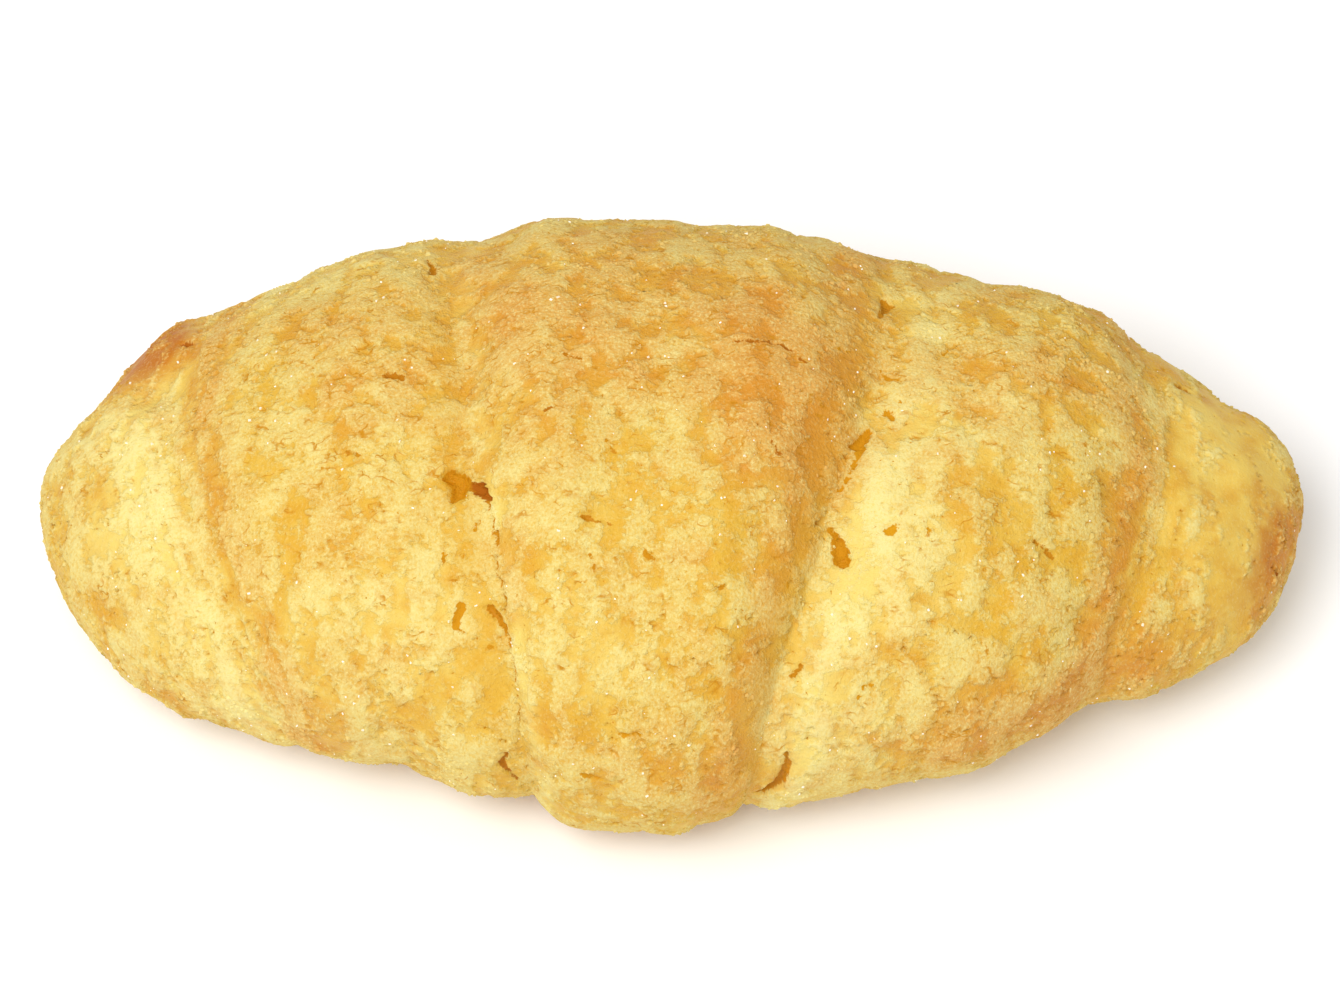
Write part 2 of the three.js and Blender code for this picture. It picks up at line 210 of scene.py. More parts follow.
def turn_height(turn, x, angle):
    """Height that one turn of dough adds: its thickness inside its seams, and a furrow along them."""
    from_left = x - around(turn["left"]["seam"], angle)
    from_right = around(turn["right"]["seam"], angle) - x
    nearer_left = from_left < from_right
    inside = np.minimum(from_left, from_right)
    edge = np.where(nearer_left, turn["left"]["edge"], turn["right"]["edge"])
    foot = np.where(nearer_left, turn["left"]["foot"], turn["right"]["foot"])
    furrow = np.where(nearer_left, around(turn["left"]["gutter"], angle), around(turn["right"]["gutter"], angle))
    softness = around(turn["softness"], angle)
    away = np.sqrt(inside ** 2 + softness ** 2) - softness
    drop = edge_drop(away / edge, around(EDGE_ROUNDNESS, angle))
    on_turn = around(turn["thickness"], angle) * (1 - drop) - furrow * drop
    beside_turn = -furrow * edge_drop(away / foot, FOOT_ROUNDNESS)
    return np.where(inside < 0, beside_turn, on_turn)


def bump_at(x, angle, place, reach):
    """A soft round bump, 1 at its place and falling off over its reach along and around the roll."""
    apart = np.mod(angle - math.radians(place[1]) + np.pi, 2 * np.pi) - np.pi
    return np.exp(-((x - place[0]) / reach[0]) ** 2 - (apart / math.radians(reach[1])) ** 2)


def wave_height(x, angle):
    """Slow unevenness of the dough."""
    high, middle, low = WAVE_HEIGHTS
    slow = np.sin(0.21 * x + 1.3 * np.sin(angle) + 0.6) * np.sin(2 * angle + 0.05 * x + 1.1)
    medium = np.sin(0.47 * x + 3 * np.cos(angle) + 2) * np.cos(3 * angle - 0.11 * x)
    quick = np.sin(0.93 * x - 4 * np.sin(angle) + 0.3) * np.cos(5 * angle + 0.2 * x + 0.8)
    return high * slow + middle * medium + low * quick


def seam_wobble(x, angle):
    """How far a seam strays from its even line."""
    return sum(size * np.sin(waves * angle + slant * x + start) for size, waves, slant, start in WOBBLES)


def ripple_height(x, y, z):
    """Finer unevenness: plane waves in directions spread over a sphere."""
    height = 0
    for i in range(RIPPLE_WAVES):
        up = 1 - (2 * i + 1) / RIPPLE_WAVES
        turn = i * GOLDEN_ANGLE
        flat = math.sqrt(1 - up * up)
        pitch = RIPPLE_FINEST + (RIPPLE_COARSEST - RIPPLE_FINEST) * ((i * GOLDEN_SHARE) % 1)
        along = flat * math.cos(turn) * x + flat * math.sin(turn) * y + up * z
        height = height + np.sin(2 * math.pi / pitch * along + i)
    return RIPPLE_HEIGHT * height


def surface_points(x, angle):
    """Points of the roll's smooth form, as an array of x, y and z in millimetres."""
    back = core_half_width(x, CORE_BACK)
    front = core_half_width(x, CORE_FRONT)
    width = (back + front) / 2
    reach = np.minimum(np.abs(x) / HALF, 1)
    axis_y = TIP_BEND * reach ** 2
    axis_z = WAIST_HEIGHT - TIP_DROP * reach ** 2
    core = core_radius(back, front, angle)
    along = x + seam_wobble(x, angle)
    dough = sum(turn_height(turn, along, angle) for turn in TURNS)
    for place_x, place_angle, height, along, round_about in SWELLINGS:
        dough = dough + height * bump_at(x, angle, (place_x, place_angle), (along, round_about))
    relief = wave_height(x, angle) + ripple_height(x, core * np.cos(angle), core * np.sin(angle))
    relief = relief * np.minimum(width / FULL_RELIEF_WIDTH, 1)
    radius = core + (dough + relief) * np.minimum(width / FULL_TURN_WIDTH, 1)
    y = axis_y + radius * np.cos(angle) + CENTRE_SHIFT
    z = np.maximum(axis_z + radius * np.sin(angle), 0)
    return np.stack([x, y, z], -1)


# --- Where the crust is browner, paler, barer or stretched, and where painted light and shade lie on it.
# Each patch: place along the roll, angle in degrees, strength, and reach along and around.

# Browner patches; the one at 50 mm and 170 degrees is painted shade under the front of the right shoulder.
BROWN_AND_SHADE_PATCHES = [
    (-57.5, 38, 1.35, 5.2, 23), (-17, 68, 0.5, 2.5, 14), (-6, 55, 0.5, 14, 20),
    (10, 82, 1.1, 6, 24), (-8, 82, 0.6, 14, 16), (30, 80, 0.2, 16, 22), (38, 174, 0.9, 14, 14),
    (50, 170, 0.5, 6, 14), (2, 168, 0.4, 12, 14), (67.5, 156, 1.2, 4.2, 32), (69.6, 118, 0.45, 2.2, 45),
    (-46, 184, 0.3, 18, 6), (-33, 86, 0.45, 7, 18), (-44, 60, 0.25, 8, 12), (40, 76, 0.35, 8, 14),
    (14, 102, 0.4, 5, 14), (32, 158, 0.3, 8, 10), (-40, 162, 0.25, 8, 10), (32, 42, 0.3, 8, 12),
    (-16, 105, 0.22, 4, 32), (-30, 60, 0.15, 14, 14), (-36, 172, 0.2, 12, 12),
]
PALE_PATCHES = [
    (-60, 115, 0.55, 9, 50), (-50, 165, 0.3, 10, 20), (24, 128, 0.6, 6, 22), (19, 168, 0.5, 6, 16),
    (-30, 142, 0.5, 9, 22), (-8, 140, 0.3, 6, 12), (-62, 80, 0.4, 8, 14), (-45, 180, 0.4, 25, 10),
    (-40, 38, 0.6, 14, 10), (62, 95, 0.3, 6, 40), (32, 95, 0.35, 7, 22), (-25, 50, 0.4, 4, 14),
]
COVER_PATCHES = [
    (-8, 72, 0.02, 12, 25), (30, 95, 0.02, 12, 30), (-34, 90, 0.04, 11, 40), (63, 105, -0.11, 9, 95),
    (-57.5, 38, -0.12, 5.4, 24),
]

# Where the biscuit crust ran out and the bread dough shows.
DOUGH_PATCHES = [(61.5, 105, 1.6, 8, 80), (-57.5, 38, 1.45, 4.9, 22)]

# At the back, top, front and underneath of each seam: how much browner the turn's edge is, how much paler the furrow
# beside it, how bare of flakes and how darkened with painted shade the bottom of the seam is, and how smooth the rim
# is and how much paler with painted light. The last number is how far that shaded bottom lies onto the turn.
# EDGE, FURROW and RIM hold how far onto the turn their middle lies, and their reach.
SEAM_TINTS = (
    (OUTER_TURN, "left", (0.3, 0.5, 0.3, 0), (0, 0.35, 0.4, 0), (0, 0, 0, 0), (0, 0, 0, 0), 0.0),
    (OUTER_TURN, "right", (0.3, 0.65, 0.6, 0), (0.2, 0.25, 0.05, 0), (0, 0.2, 0.3, 0), (0, 0, 0, 0), 0.0),
    (MIDDLE_TURN, "left", (0.3, 0.1, 0.05, 0), (0, 0, 0, 0), (0.2, 0.75, 0.8, 0), (0.3, 0.8, 1.1, 0), -2.4),
    (MIDDLE_TURN, "right", (0.5, 0.7, 0.5, 0), (0.3, 0.4, 0.9, 0), (0.3, 0.7, 0.9, 0), (0, 0, 0, 0), 2.4),
)
EDGE = (3.5, 2.8)
FURROW = (-4.5, 3.0)
RIM = (1.6, 0.8)
CREASE_REACH = 1.9
# How much paler painted light makes the rim.
RIM_PAINTED_LIGHT = 0.7
SEAM_INFLUENCE = 9  # how far beside a seam streaks still follow it

# Heights above the base between which the upper crust's colours, the browned base and the low back fade in or out.
UPPER_CRUST = (1.5, 5.5)
BASE_EDGE = (0.1, 4.2)
LOWER_BACK = (10, 25)
BACK_SHARE = (0.3, 0.9)  # how far a place has to face the back, with 1 for straight back
BASE_WAVES = ((0.6, 0.5), (0.5, 0.8))  # how far the base's edge strays, and how quickly, along and across the roll
DOUGH_EDGE = (0.3, 1.1)

# Strengths of the fields.
LOW_BROWNING, BACK_BROWNING = 0.3, 0.25
COVER, CREASE_COVER, RIM_COVER = 0.02, -0.045, -0.06
# How strongly painted shade darkens the bottom of the seams.
CREASE_SHADE_STRENGTH = 0.35

# The crust is stretched beside the outer turn's seams, so its pattern runs in streaks there.
STREAKS_INSIDE = (1.0, 7.0)
STREAKS_OUTSIDE = (-7, 0)
TIP_STREAKS = 0.3
STREAK_STRENGTH = 0.8

# The crust is drawn out around the roll, so its pattern is taller than wide on the sides.
DRAWN_OUT = (1.0, 1.0, 0.6)


def seam_tints(x, angle):
    """How much browner, paler, barer and smoother each point is for lying beside a seam.

    The paler share includes painted light on the rim, and the barer share also sets the painted shade in the bottom of
    the seams.
    """
    totals = [np.zeros_like(x) for _ in range(4)]
    along = x + seam_wobble(x, angle)
    for turn, side, *shares, onto in SEAM_TINTS:
        seam = around(turn[side]["seam"], angle)
        inside = along - seam if side == "left" else seam - along
        for i, (place, reach) in enumerate((EDGE, FURROW, (onto, CREASE_REACH), RIM)):
            totals[i] += np.maximum(around(shares[i], angle), 0) * np.exp(-((inside - place) / reach) ** 2)
    brown, pale, bare, smooth = totals
    # Painted light makes the rim paler, as if lit.
    return brown, pale + RIM_PAINTED_LIGHT * smooth, bare, smooth


def patch_field(patches, x, angle):
    """Sum of soft patches at each point."""
    total = np.zeros_like(x)
    for place_x, place_angle, strength, along, round_about in patches:
        total = total + strength * bump_at(x, angle, (place_x, place_angle), (along, round_about))
    return total


def smooth_step(low, high, value):
    """0 below low, 1 above high and a smooth rise between."""
    share = np.clip((value - low) / (high - low), 0, 1)
    return share * share * (3 - 2 * share)


def seam_offset(x, angle):
    """How far the nearest seams have slanted off their mean line, so that streaks can follow them."""
    total = 0
    weight = 1e-6
    for turn in TURNS:
        for side in ("left", "right"):
            seam = around(turn[side]["seam"], angle)
            share = np.exp(-((x - seam) / SEAM_INFLUENCE) ** 2)
            total = total + share * (seam - np.mean(turn[side]["seam"]))
            weight = weight + share
    return total / weight


def tear_fields(points):
    """How far inside a tear each point is, in millimetres (below 0 outside), with the tear's depth and how much
    painted shade darkens its inside.
    """
    inside = np.full(points.shape[:-1], -TEAR_REACH)
    depth = np.zeros_like(inside)
    tear_shade = np.zeros_like(inside)
    for deep, dark, chain in TEARS:
        places = np.array(chain)
        places[:, 2] = np.maximum(places[:, 2], LEAST_TEAR)
        joints = surface_points(places[:, 0], np.radians(places[:, 1]))
        low = joints.min(0) - TEAR_REACH
        high = joints.max(0) + TEAR_REACH
        near = np.flatnonzero(((points > low) & (points < high)).all(-1))
        for i in range(len(chain) - 1):
            ahead = joints[i + 1] - joints[i]
            apart = points[near] - joints[i]
            share = np.clip(apart @ ahead / (ahead @ ahead), 0, 1)
            distance = np.linalg.norm(apart - share[:, None] * ahead, axis=-1)
            here = places[i, 2] * (1 - share) + places[i + 1, 2] * share - distance
            better = here > inside[near]
            chosen = near[better]
            inside[chosen] = here[better]
            depth[chosen] = deep
            tear_shade[chosen] = dark
    return inside, depth, tear_shade


# --- Small helpers for meshes, nodes and colours.

# The kinds of node that are used most, whose inputs go by number. MATH and VECTOR_MATH have their terms in 0 to 2.
# MAP_RANGE has its value in 0, the range it comes from in 1 and 2, and the one it goes to in 3 and 4. MIX has its share
# in 0, and two numbers in 2 and 3 or two colours in 6 and 7.
MATH = "ShaderNodeMath"
VECTOR_MATH = "ShaderNodeVectorMath"
MAP_RANGE = "ShaderNodeMapRange"
NOISE = "ShaderNodeTexNoise"
MIX = "ShaderNodeMix"


def linear_colour(code):
    """An sRGB hex colour as linear red, green, blue and alpha."""
    values = [int(code[i:i + 2], 16) / 255 for i in (1, 3, 5)]
    return tuple(v / 12.92 if v <= 0.04045 else ((v + 0.055) / 1.055) ** 2.4 for v in values) + (1.0,)


def add(tree, kind, links=None, **settings):
    """Adds a node with its settings, and sets or links its inputs, which are named or numbered."""
    node = tree.nodes.new(kind)
    for name, value in settings.items():
        setattr(node, name, value)
    for key, value in (links or {}).items():
        socket = node.inputs[key]
        if isinstance(value, bpy.types.Node):
            tree.links.new(value.outputs[0], socket)
        elif isinstance(value, bpy.types.NodeSocket):
            tree.links.new(value, socket)
        else:
            socket.default_value = value
    return node


def new_object(name, mesh):
    """An object at the origin that holds the mesh."""
    made = bpy.data.objects.new(name, mesh)
    bpy.context.scene.collection.objects.link(made)
    return made


def settle(made, name):
    """Turns an object with modifiers into a plain mesh."""
    graph = bpy.context.evaluated_depsgraph_get()
    mesh = bpy.data.meshes.new_from_object(made.evaluated_get(graph), depsgraph=graph)
    source = made.data
    made.modifiers.clear()
    made.data = mesh
    bpy.data.meshes.remove(source)
    mesh.name = name
    return mesh


def drop_folds(mesh):
    """Cuts the faces into triangles, and takes out any that lie back to back, which thinning may leave."""
    form = bmesh.new()
    form.from_mesh(mesh)
    bmesh.ops.triangulate(form, faces=form.faces)
    first = {}
    folded = set()
    for face in form.faces:
        corners = tuple(sorted(corner.index for corner in face.verts))
        if corners in first:
            folded.update((first[corners], face))
        first[corners] = face
    bmesh.ops.delete(form, geom=list(folded), context="FACES")
    form.to_mesh(mesh)
    form.free()


def new_material(name):
    """A material with an empty node tree, and the tree."""
    material = bpy.data.materials.new(name)
    material.use_nodes = True
    material.node_tree.nodes.clear()
    return material, material.node_tree


def set_inputs(modifier, values):
    """Sets a Geometry Nodes modifier's inputs, named as in its tree, by their sockets' identifiers."""
    for item in modifier.node_group.interface.items_tree:
        if item.item_type == "SOCKET" and item.in_out == "INPUT" and item.name in values:
            modifier[item.identifier] = values[item.name]


def new_tree(name, inputs):
    """A Geometry Nodes tree with a geometry in and out, and the named inputs."""
    tree = bpy.data.node_groups.new(name, "GeometryNodeTree")
    tree.interface.new_socket(name="Geometry", in_out="OUTPUT", socket_type="NodeSocketGeometry")
    tree.interface.new_socket(name="Geometry", in_out="INPUT", socket_type="NodeSocketGeometry")
    for label, kind in inputs:
        tree.interface.new_socket(name=label, in_out="INPUT", socket_type="NodeSocket" + kind)
    return tree, tree.nodes.new("NodeGroupInput").outputs


def end_tree(tree, geometry, material):
    """Ends a Geometry Nodes tree: copies become real and get the material."""
    real = add(tree, "GeometryNodeRealizeInstances", {"Geometry": geometry})
    dressed = add(tree, "GeometryNodeSetMaterial", {"Geometry": real, "Material": material})
    add(tree, "NodeGroupOutput", {"Geometry": dressed})


# --- The pattern that both the relief and the finish are drawn from.

# Sizes of the patterns in millimetres, each the width of one cell of its noise.
CRUMBLE = 0.6  # ragged edges of flakes, cracks and tears
GRAIN = 0.31  # sandy grain: real grains are about 0.1 mm, too fine to show, so they are drawn three times as wide
DRIFT = 1.25  # how quickly flakes bend aside
CRACK_CELL = 1.33  # distance between hairline cracks
CRACK_PATCH = 1.8  # length of one hairline crack
LIP_PATCH = 1.7  # length of one lifted lip
RAG = 1.1  # notches in the rims of tears
CLOUD = 6.2  # patches of browner and paler crust
FLECK = 1.4  # spots of browner and paler crust
STREAK = 2.0  # streaks in stretched crust
SWELL = 3.3  # slow unevenness under the flakes
GROUP = 8.3  # groups of crumbs and of sugar
FROST = 2 / 3  # frosted places on a crystal of sugar

# How the patterns' places are stretched: a share below 1 makes a pattern longer along x, y or z.
ISLAND_STRETCH = (1.2, 0.85, 0.85)
BAND_STRETCH = (1.9, 0.5, 0.5)
CRACK_STRETCH = (0.45, 1.0, 0.85)
STREAK_STRETCH = (2.6, 0.35, 0.35)
BEND = 2.4  # how far flakes bend aside, in millimetres
SEED_STEP = (17.3, 5.1, 9.7)  # how far the pattern moves for each one added to the seed

# How much of the crumble is added to each field, and between which levels a detail fades in or out.
RAGGED = {"flake": 0.26, "crack": 0.035, "pit": 0.25, "hollow": 0.9}
FLAKE_EDGE = {1: 0.475, 2: 0.525}
LIP_LEVEL = 0.485
LINE_EDGES = {"lip": {1: 0.002, 2: 0.012}, "crack": {1: 0.004, 2: 0.022}}
PIT_EDGE = {1: -0.03, 2: 0.03}
NICK_EDGE = {1: -0.25, 2: -0.19}
HOLLOW_EDGE = {1: -0.06, 2: 0.08}
FADE_OUT = {3: 1.0, 4: 0.0}

# The relief tree's sizes in millimetres, named as the settings are.
RELIEF_SIZES = ("Flake size", "Flake height", "Lump size", "Lump height", "Crack depth", "Pit spacing", "Pit depth")

# What the relief tree works out once for each point of the mesh and the finish reads back, with a fine noise on top.
SHARED_FIELDS = ("flake_field", "crack_field", "crack_place", "lip_place", "pit_field", "hollow_field", "toast_and_shade",
                 "light")


def crust_details(tree, rest, fields):
    """Adds the nodes that sharpen the shared fields into flakes, cracks, pits and torn places.

    rest is the place on the smooth form in millimetres, and fields holds the shared fields' sockets by name.
    """
    fine = add(tree, NOISE, {"Vector": rest, "Scale": 1 / CRUMBLE, "Detail": 2.0, "Roughness": 0.75})
    fine = add(tree, MATH, {0: fine, 1: 0.5}, operation="SUBTRACT")
    ragged = {}
    for label, share in RAGGED.items():
        ragged[label] = add(tree, MATH, {0: fine, 1: share, 2: fields[label + "_field"]},
                            operation="MULTIPLY_ADD").outputs[0]
    made = {"fine": fine.outputs[0], "level": ragged["flake"]}
    for label, level, edge in (("flake", ragged["flake"], FLAKE_EDGE), ("hollow", ragged["hollow"], HOLLOW_EDGE)):
        made[label] = add(tree, MAP_RANGE, {0: level, **edge}, interpolation_type="SMOOTHSTEP").outputs[0]

    # A flake's lifted lip leaves a short groove where it ends, with a painted shadow in the finish, and a crack runs
    # where its field is zero.
    lip = add(tree, MATH, {0: ragged["flake"], 1: LIP_LEVEL}, operation="SUBTRACT")
    for label, level in (("lip", lip), ("crack", ragged["crack"])):
        line = add(tree, MATH, {0: level}, operation="ABSOLUTE")
        line = add(tree, MAP_RANGE, {0: line, **LINE_EDGES[label], **FADE_OUT})
        line = add(tree, MATH, {0: line, 1: fields[label + "_place"]}, operation="MULTIPLY")
        made[label] = line.outputs[0]

    pit = add(tree, MAP_RANGE, {0: ragged["pit"], **PIT_EDGE, **FADE_OUT})
    nick = add(tree, MAP_RANGE, {0: fine, **NICK_EDGE, **FADE_OUT})
    made["pit"] = add(tree, MATH, {0: pit, 1: nick}, operation="MAXIMUM").outputs[0]
    return made


def relief_tree():
    """The Geometry Nodes tree that raises the crust's relief out of the smooth form and keeps the shared fields."""
    tree, given = new_tree("Crust relief", [(label, "Float") for label in (*RELIEF_SIZES, "Seed")]
                           + [("Material", "Material")])
    own = {}
    for name, kind in (("rest", "FLOAT_VECTOR"), ("wrap", "FLOAT_VECTOR"), ("cover", "FLOAT"), ("streak", "FLOAT"),
                       ("inside", "FLOAT"), ("depth", "FLOAT"), ("browning_and_shade", "FLOAT"), ("pale", "FLOAT")):
        own[name] = add(tree, "GeometryNodeInputNamedAttribute", {"Name": name}, data_type=kind)
    seed = add(tree, "ShaderNodeCombineXYZ", {axis: given["Seed"] for axis in range(3)})
    rest, wrap = (add(tree, VECTOR_MATH, {0: seed, 1: SEED_STEP, 2: own[name]}, operation="MULTIPLY_ADD")
                  for name in ("rest", "wrap"))
    noises = {}
    drawn = add(tree, VECTOR_MATH, {0: rest, 1: CRACK_STRETCH}, operation="MULTIPLY")
    streaks = add(tree, VECTOR_MATH, {0: wrap, 1: STREAK_STRETCH}, operation="MULTIPLY")
    for label, place, cell, detail, rough in (
            ("bend", rest, DRIFT, 4.0, 0.6), ("crack", drawn, CRACK_CELL, 4.0, 0.6),
            ("crack_place", rest, CRACK_PATCH, 3.0, 0.7), ("lip_place", rest, LIP_PATCH, 3.0, 0.5),
            ("rag", rest, RAG, 3.0, 0.6), ("clouds", rest, CLOUD, 4.0, 0.5), ("swell", rest, SWELL, 4.0, 0.5),
            ("streaks", streaks, STREAK, 4.0, 0.6)):
        noises[label] = add(tree, NOISE, {"Vector": place, "Scale": 1 / cell, "Detail": detail, "Roughness": rough})
    bend = add(tree, VECTOR_MATH, {0: noises["bend"].outputs["Color"], 1: (0.5,) * 3}, operation="SUBTRACT")
    warped = add(tree, VECTOR_MATH, {0: bend, 1: (BEND,) * 3, 2: rest}, operation="MULTIPLY_ADD")
    scale = {}
    for label in ("Flake size", "Pit spacing", "Lump size"):
        scale[label] = add(tree, MATH, {0: 1.0, 1: given[label]}, operation="DIVIDE")

    # Where flakes lie: islands on the turns, and bands that follow the seams where the crust is stretched.
    flakes = {}
    for label, place, stretch, detail, rough in (("islands", warped, ISLAND_STRETCH, 6.0, 0.62),
                                                 ("bands", wrap, BAND_STRETCH, 4.0, 0.6)):
        place = add(tree, VECTOR_MATH, {0: place, 1: stretch}, operation="MULTIPLY")
        flakes[label] = add(tree, NOISE, {
            "Vector": place, "Scale": scale["Flake size"], "Detail": detail, "Roughness": rough}).outputs[0]
    flakes = add(tree, MIX, {0: own["streak"], 2: flakes["islands"], 3: flakes["bands"]})
    flakes = add(tree, MATH, {0: flakes, 1: own["cover"]}, operation="ADD")

    # Hairline cracks run mostly along the roll, in some places only: more on flakes and browned crust than on pale.
    crack = add(tree, MATH, {0: noises["crack"], 1: 0.5}, operation="SUBTRACT")
    crack_place = noises["crack_place"]
    for label, share in (("cover", 1.5), ("browning_and_shade", 0.05), ("pale", -0.06)):
        crack_place = add(tree, MATH, {0: own[label], 1: share, 2: crack_place}, operation="MULTIPLY_ADD")
    crack_place = add(tree, MAP_RANGE, {0: crack_place, 1: 0.59, 2: 0.64})
    lip_place = add(tree, MAP_RANGE, {0: noises["lip_place"], 1: 0.6, 2: 0.66})

    # Pits: one in some of the cells, each of its own size.
    cells = add(tree, "ShaderNodeTexVoronoi", {"Vector": warped, "Scale": scale["Pit spacing"]})
    chance = add(tree, "ShaderNodeSeparateXYZ", {0: cells.outputs["Color"]})
    reach = add(tree, MAP_RANGE, {0: chance.outputs[0], 1: 0.6, 2: 1.0, 3: -0.1, 4: 0.14})
    pit = add(tree, MATH, {0: cells.outputs["Distance"], 1: reach}, operation="SUBTRACT")

    # The crust bakes unevenly, in clouds, flecks and streaks, and tears have ragged rims.
    flecks = add(tree, NOISE, {"Vector": warped, "Scale": 1 / FLECK, "Detail": 3.0, "Roughness": 0.6})
    spread = {}
    for label, noise, low, high, most in (
            ("clouds", noises["clouds"], 0.3, 0.7, 0.3), ("flecks", flecks, 0.3, 0.7, 0.3),
            ("streaks", noises["streaks"], 0.35, 0.65, 0.3), ("rag", noises["rag"], 0.2, 0.8, 0.3),
            ("swell", noises["swell"], 0.25, 0.75, 0.1)):
        spread[label] = add(tree, MAP_RANGE, {0: noise, 1: low, 2: high, 3: -most, 4: most})
    hollow = add(tree, MATH, {0: own["inside"], 1: spread["rag"]}, operation="ADD")
    uneven = add(tree, MATH, {0: spread["clouds"], 1: spread["flecks"]}, operation="ADD")
    uneven = add(tree, MATH, {0: spread["streaks"], 1: own["streak"], 2: uneven}, operation="MULTIPLY_ADD")
    # The toasted share also carries the patch of painted shade under the right shoulder.
    toast_and_shade = add(tree, MATH, {0: own["browning_and_shade"], 1: uneven}, operation="ADD", use_clamp=True)
    light = add(tree, MATH, {0: own["pale"], 1: uneven}, operation="SUBTRACT", use_clamp=True)

    made = (flakes, crack, crack_place, lip_place, pit, hollow, toast_and_shade, light)
    fields = dict(zip(SHARED_FIELDS, made))
    geometry = given["Geometry"]
    for name, value in fields.items():
        geometry = add(tree, "GeometryNodeStoreNamedAttribute",
                       {"Geometry": geometry, "Name": name, "Value": value}).outputs["Geometry"]
    details = crust_details(tree, own["rest"], fields)

    lump = add(tree, "ShaderNodeTexVoronoi", {"Vector": warped, "Scale": scale["Lump size"], "Smoothness": 0.35},
               feature="SMOOTH_F1")
    lump = add(tree, MAP_RANGE, {0: lump, 1: 0.1, 2: 0.75, 3: 1.0, 4: 0.0})
    lump = add(tree, MATH, {0: lump, 1: given["Lump height"]}, operation="MULTIPLY")
    layer = add(tree, MATH, {0: given["Flake height"], 1: lump}, operation="ADD")
    height = add(tree, MATH, {0: details["flake"], 1: layer, 2: spread["swell"]}, operation="MULTIPLY_ADD")
    bowl = add(tree, MAP_RANGE, {0: fields["hollow_field"], 1: 0.0, 2: 0.9, 3: 0.45, 4: 1.0})
    bowl = add(tree, MATH, {0: bowl, 1: own["depth"]}, operation="MULTIPLY")
    for name, depth in (("crack", given["Crack depth"]), ("lip", given["Crack depth"]), ("pit", given["Pit depth"]),
                        ("hollow", bowl)):
        cut = add(tree, MATH, {0: details[name], 1: depth}, operation="MULTIPLY")
        height = add(tree, MATH, {0: height, 1: cut}, operation="SUBTRACT")
    height = add(tree, MATH, {0: height, 1: MM}, operation="MULTIPLY")
    normal = tree.nodes.new("GeometryNodeInputNormal")
    lift = add(tree, VECTOR_MATH, {0: normal, "Scale": height}, operation="SCALE")
    place = tree.nodes.new("GeometryNodeInputPosition")
    raised = add(tree, VECTOR_MATH, {0: place, 1: lift}, operation="ADD")

    # The base stays flat: nothing goes below the level it rests on.
    kept = add(tree, VECTOR_MATH, {0: raised, 1: (-1.0, -1.0, 0.0)}, operation="MAXIMUM")
    moved = add(tree, "GeometryNodeSetPosition", {"Geometry": geometry, "Position": kept})
    end_tree(tree, moved, given["Material"])
    return tree


# --- Finishes.

CRUST_IOR = 1.45  # baked flour, egg and butter
SUGAR_IOR = 1.54
MATT, CRYSTAL_SHINE = 0.2, 0.8  # how strongly dry crust and sugar mirror light
CRUMB_ROUGHNESS = 0.75
PAPER_ROUGHNESS, PAPER_SHINE = 0.9, 0.1
SMOOTH_TO_FLAKE = {3: 0.55, 4: 0.8}  # roughness of the smooth layer and of flakes
CRUST_TO_DOUGH = {3: 0.52, 4: 0.26}  # strength of the fine bumps on biscuit crust and on dough
CLEAR_TO_FROSTED = {3: 0.08, 4: 0.4}  # roughness of sugar
BUMP_HEIGHT = 1.0  # millimetres


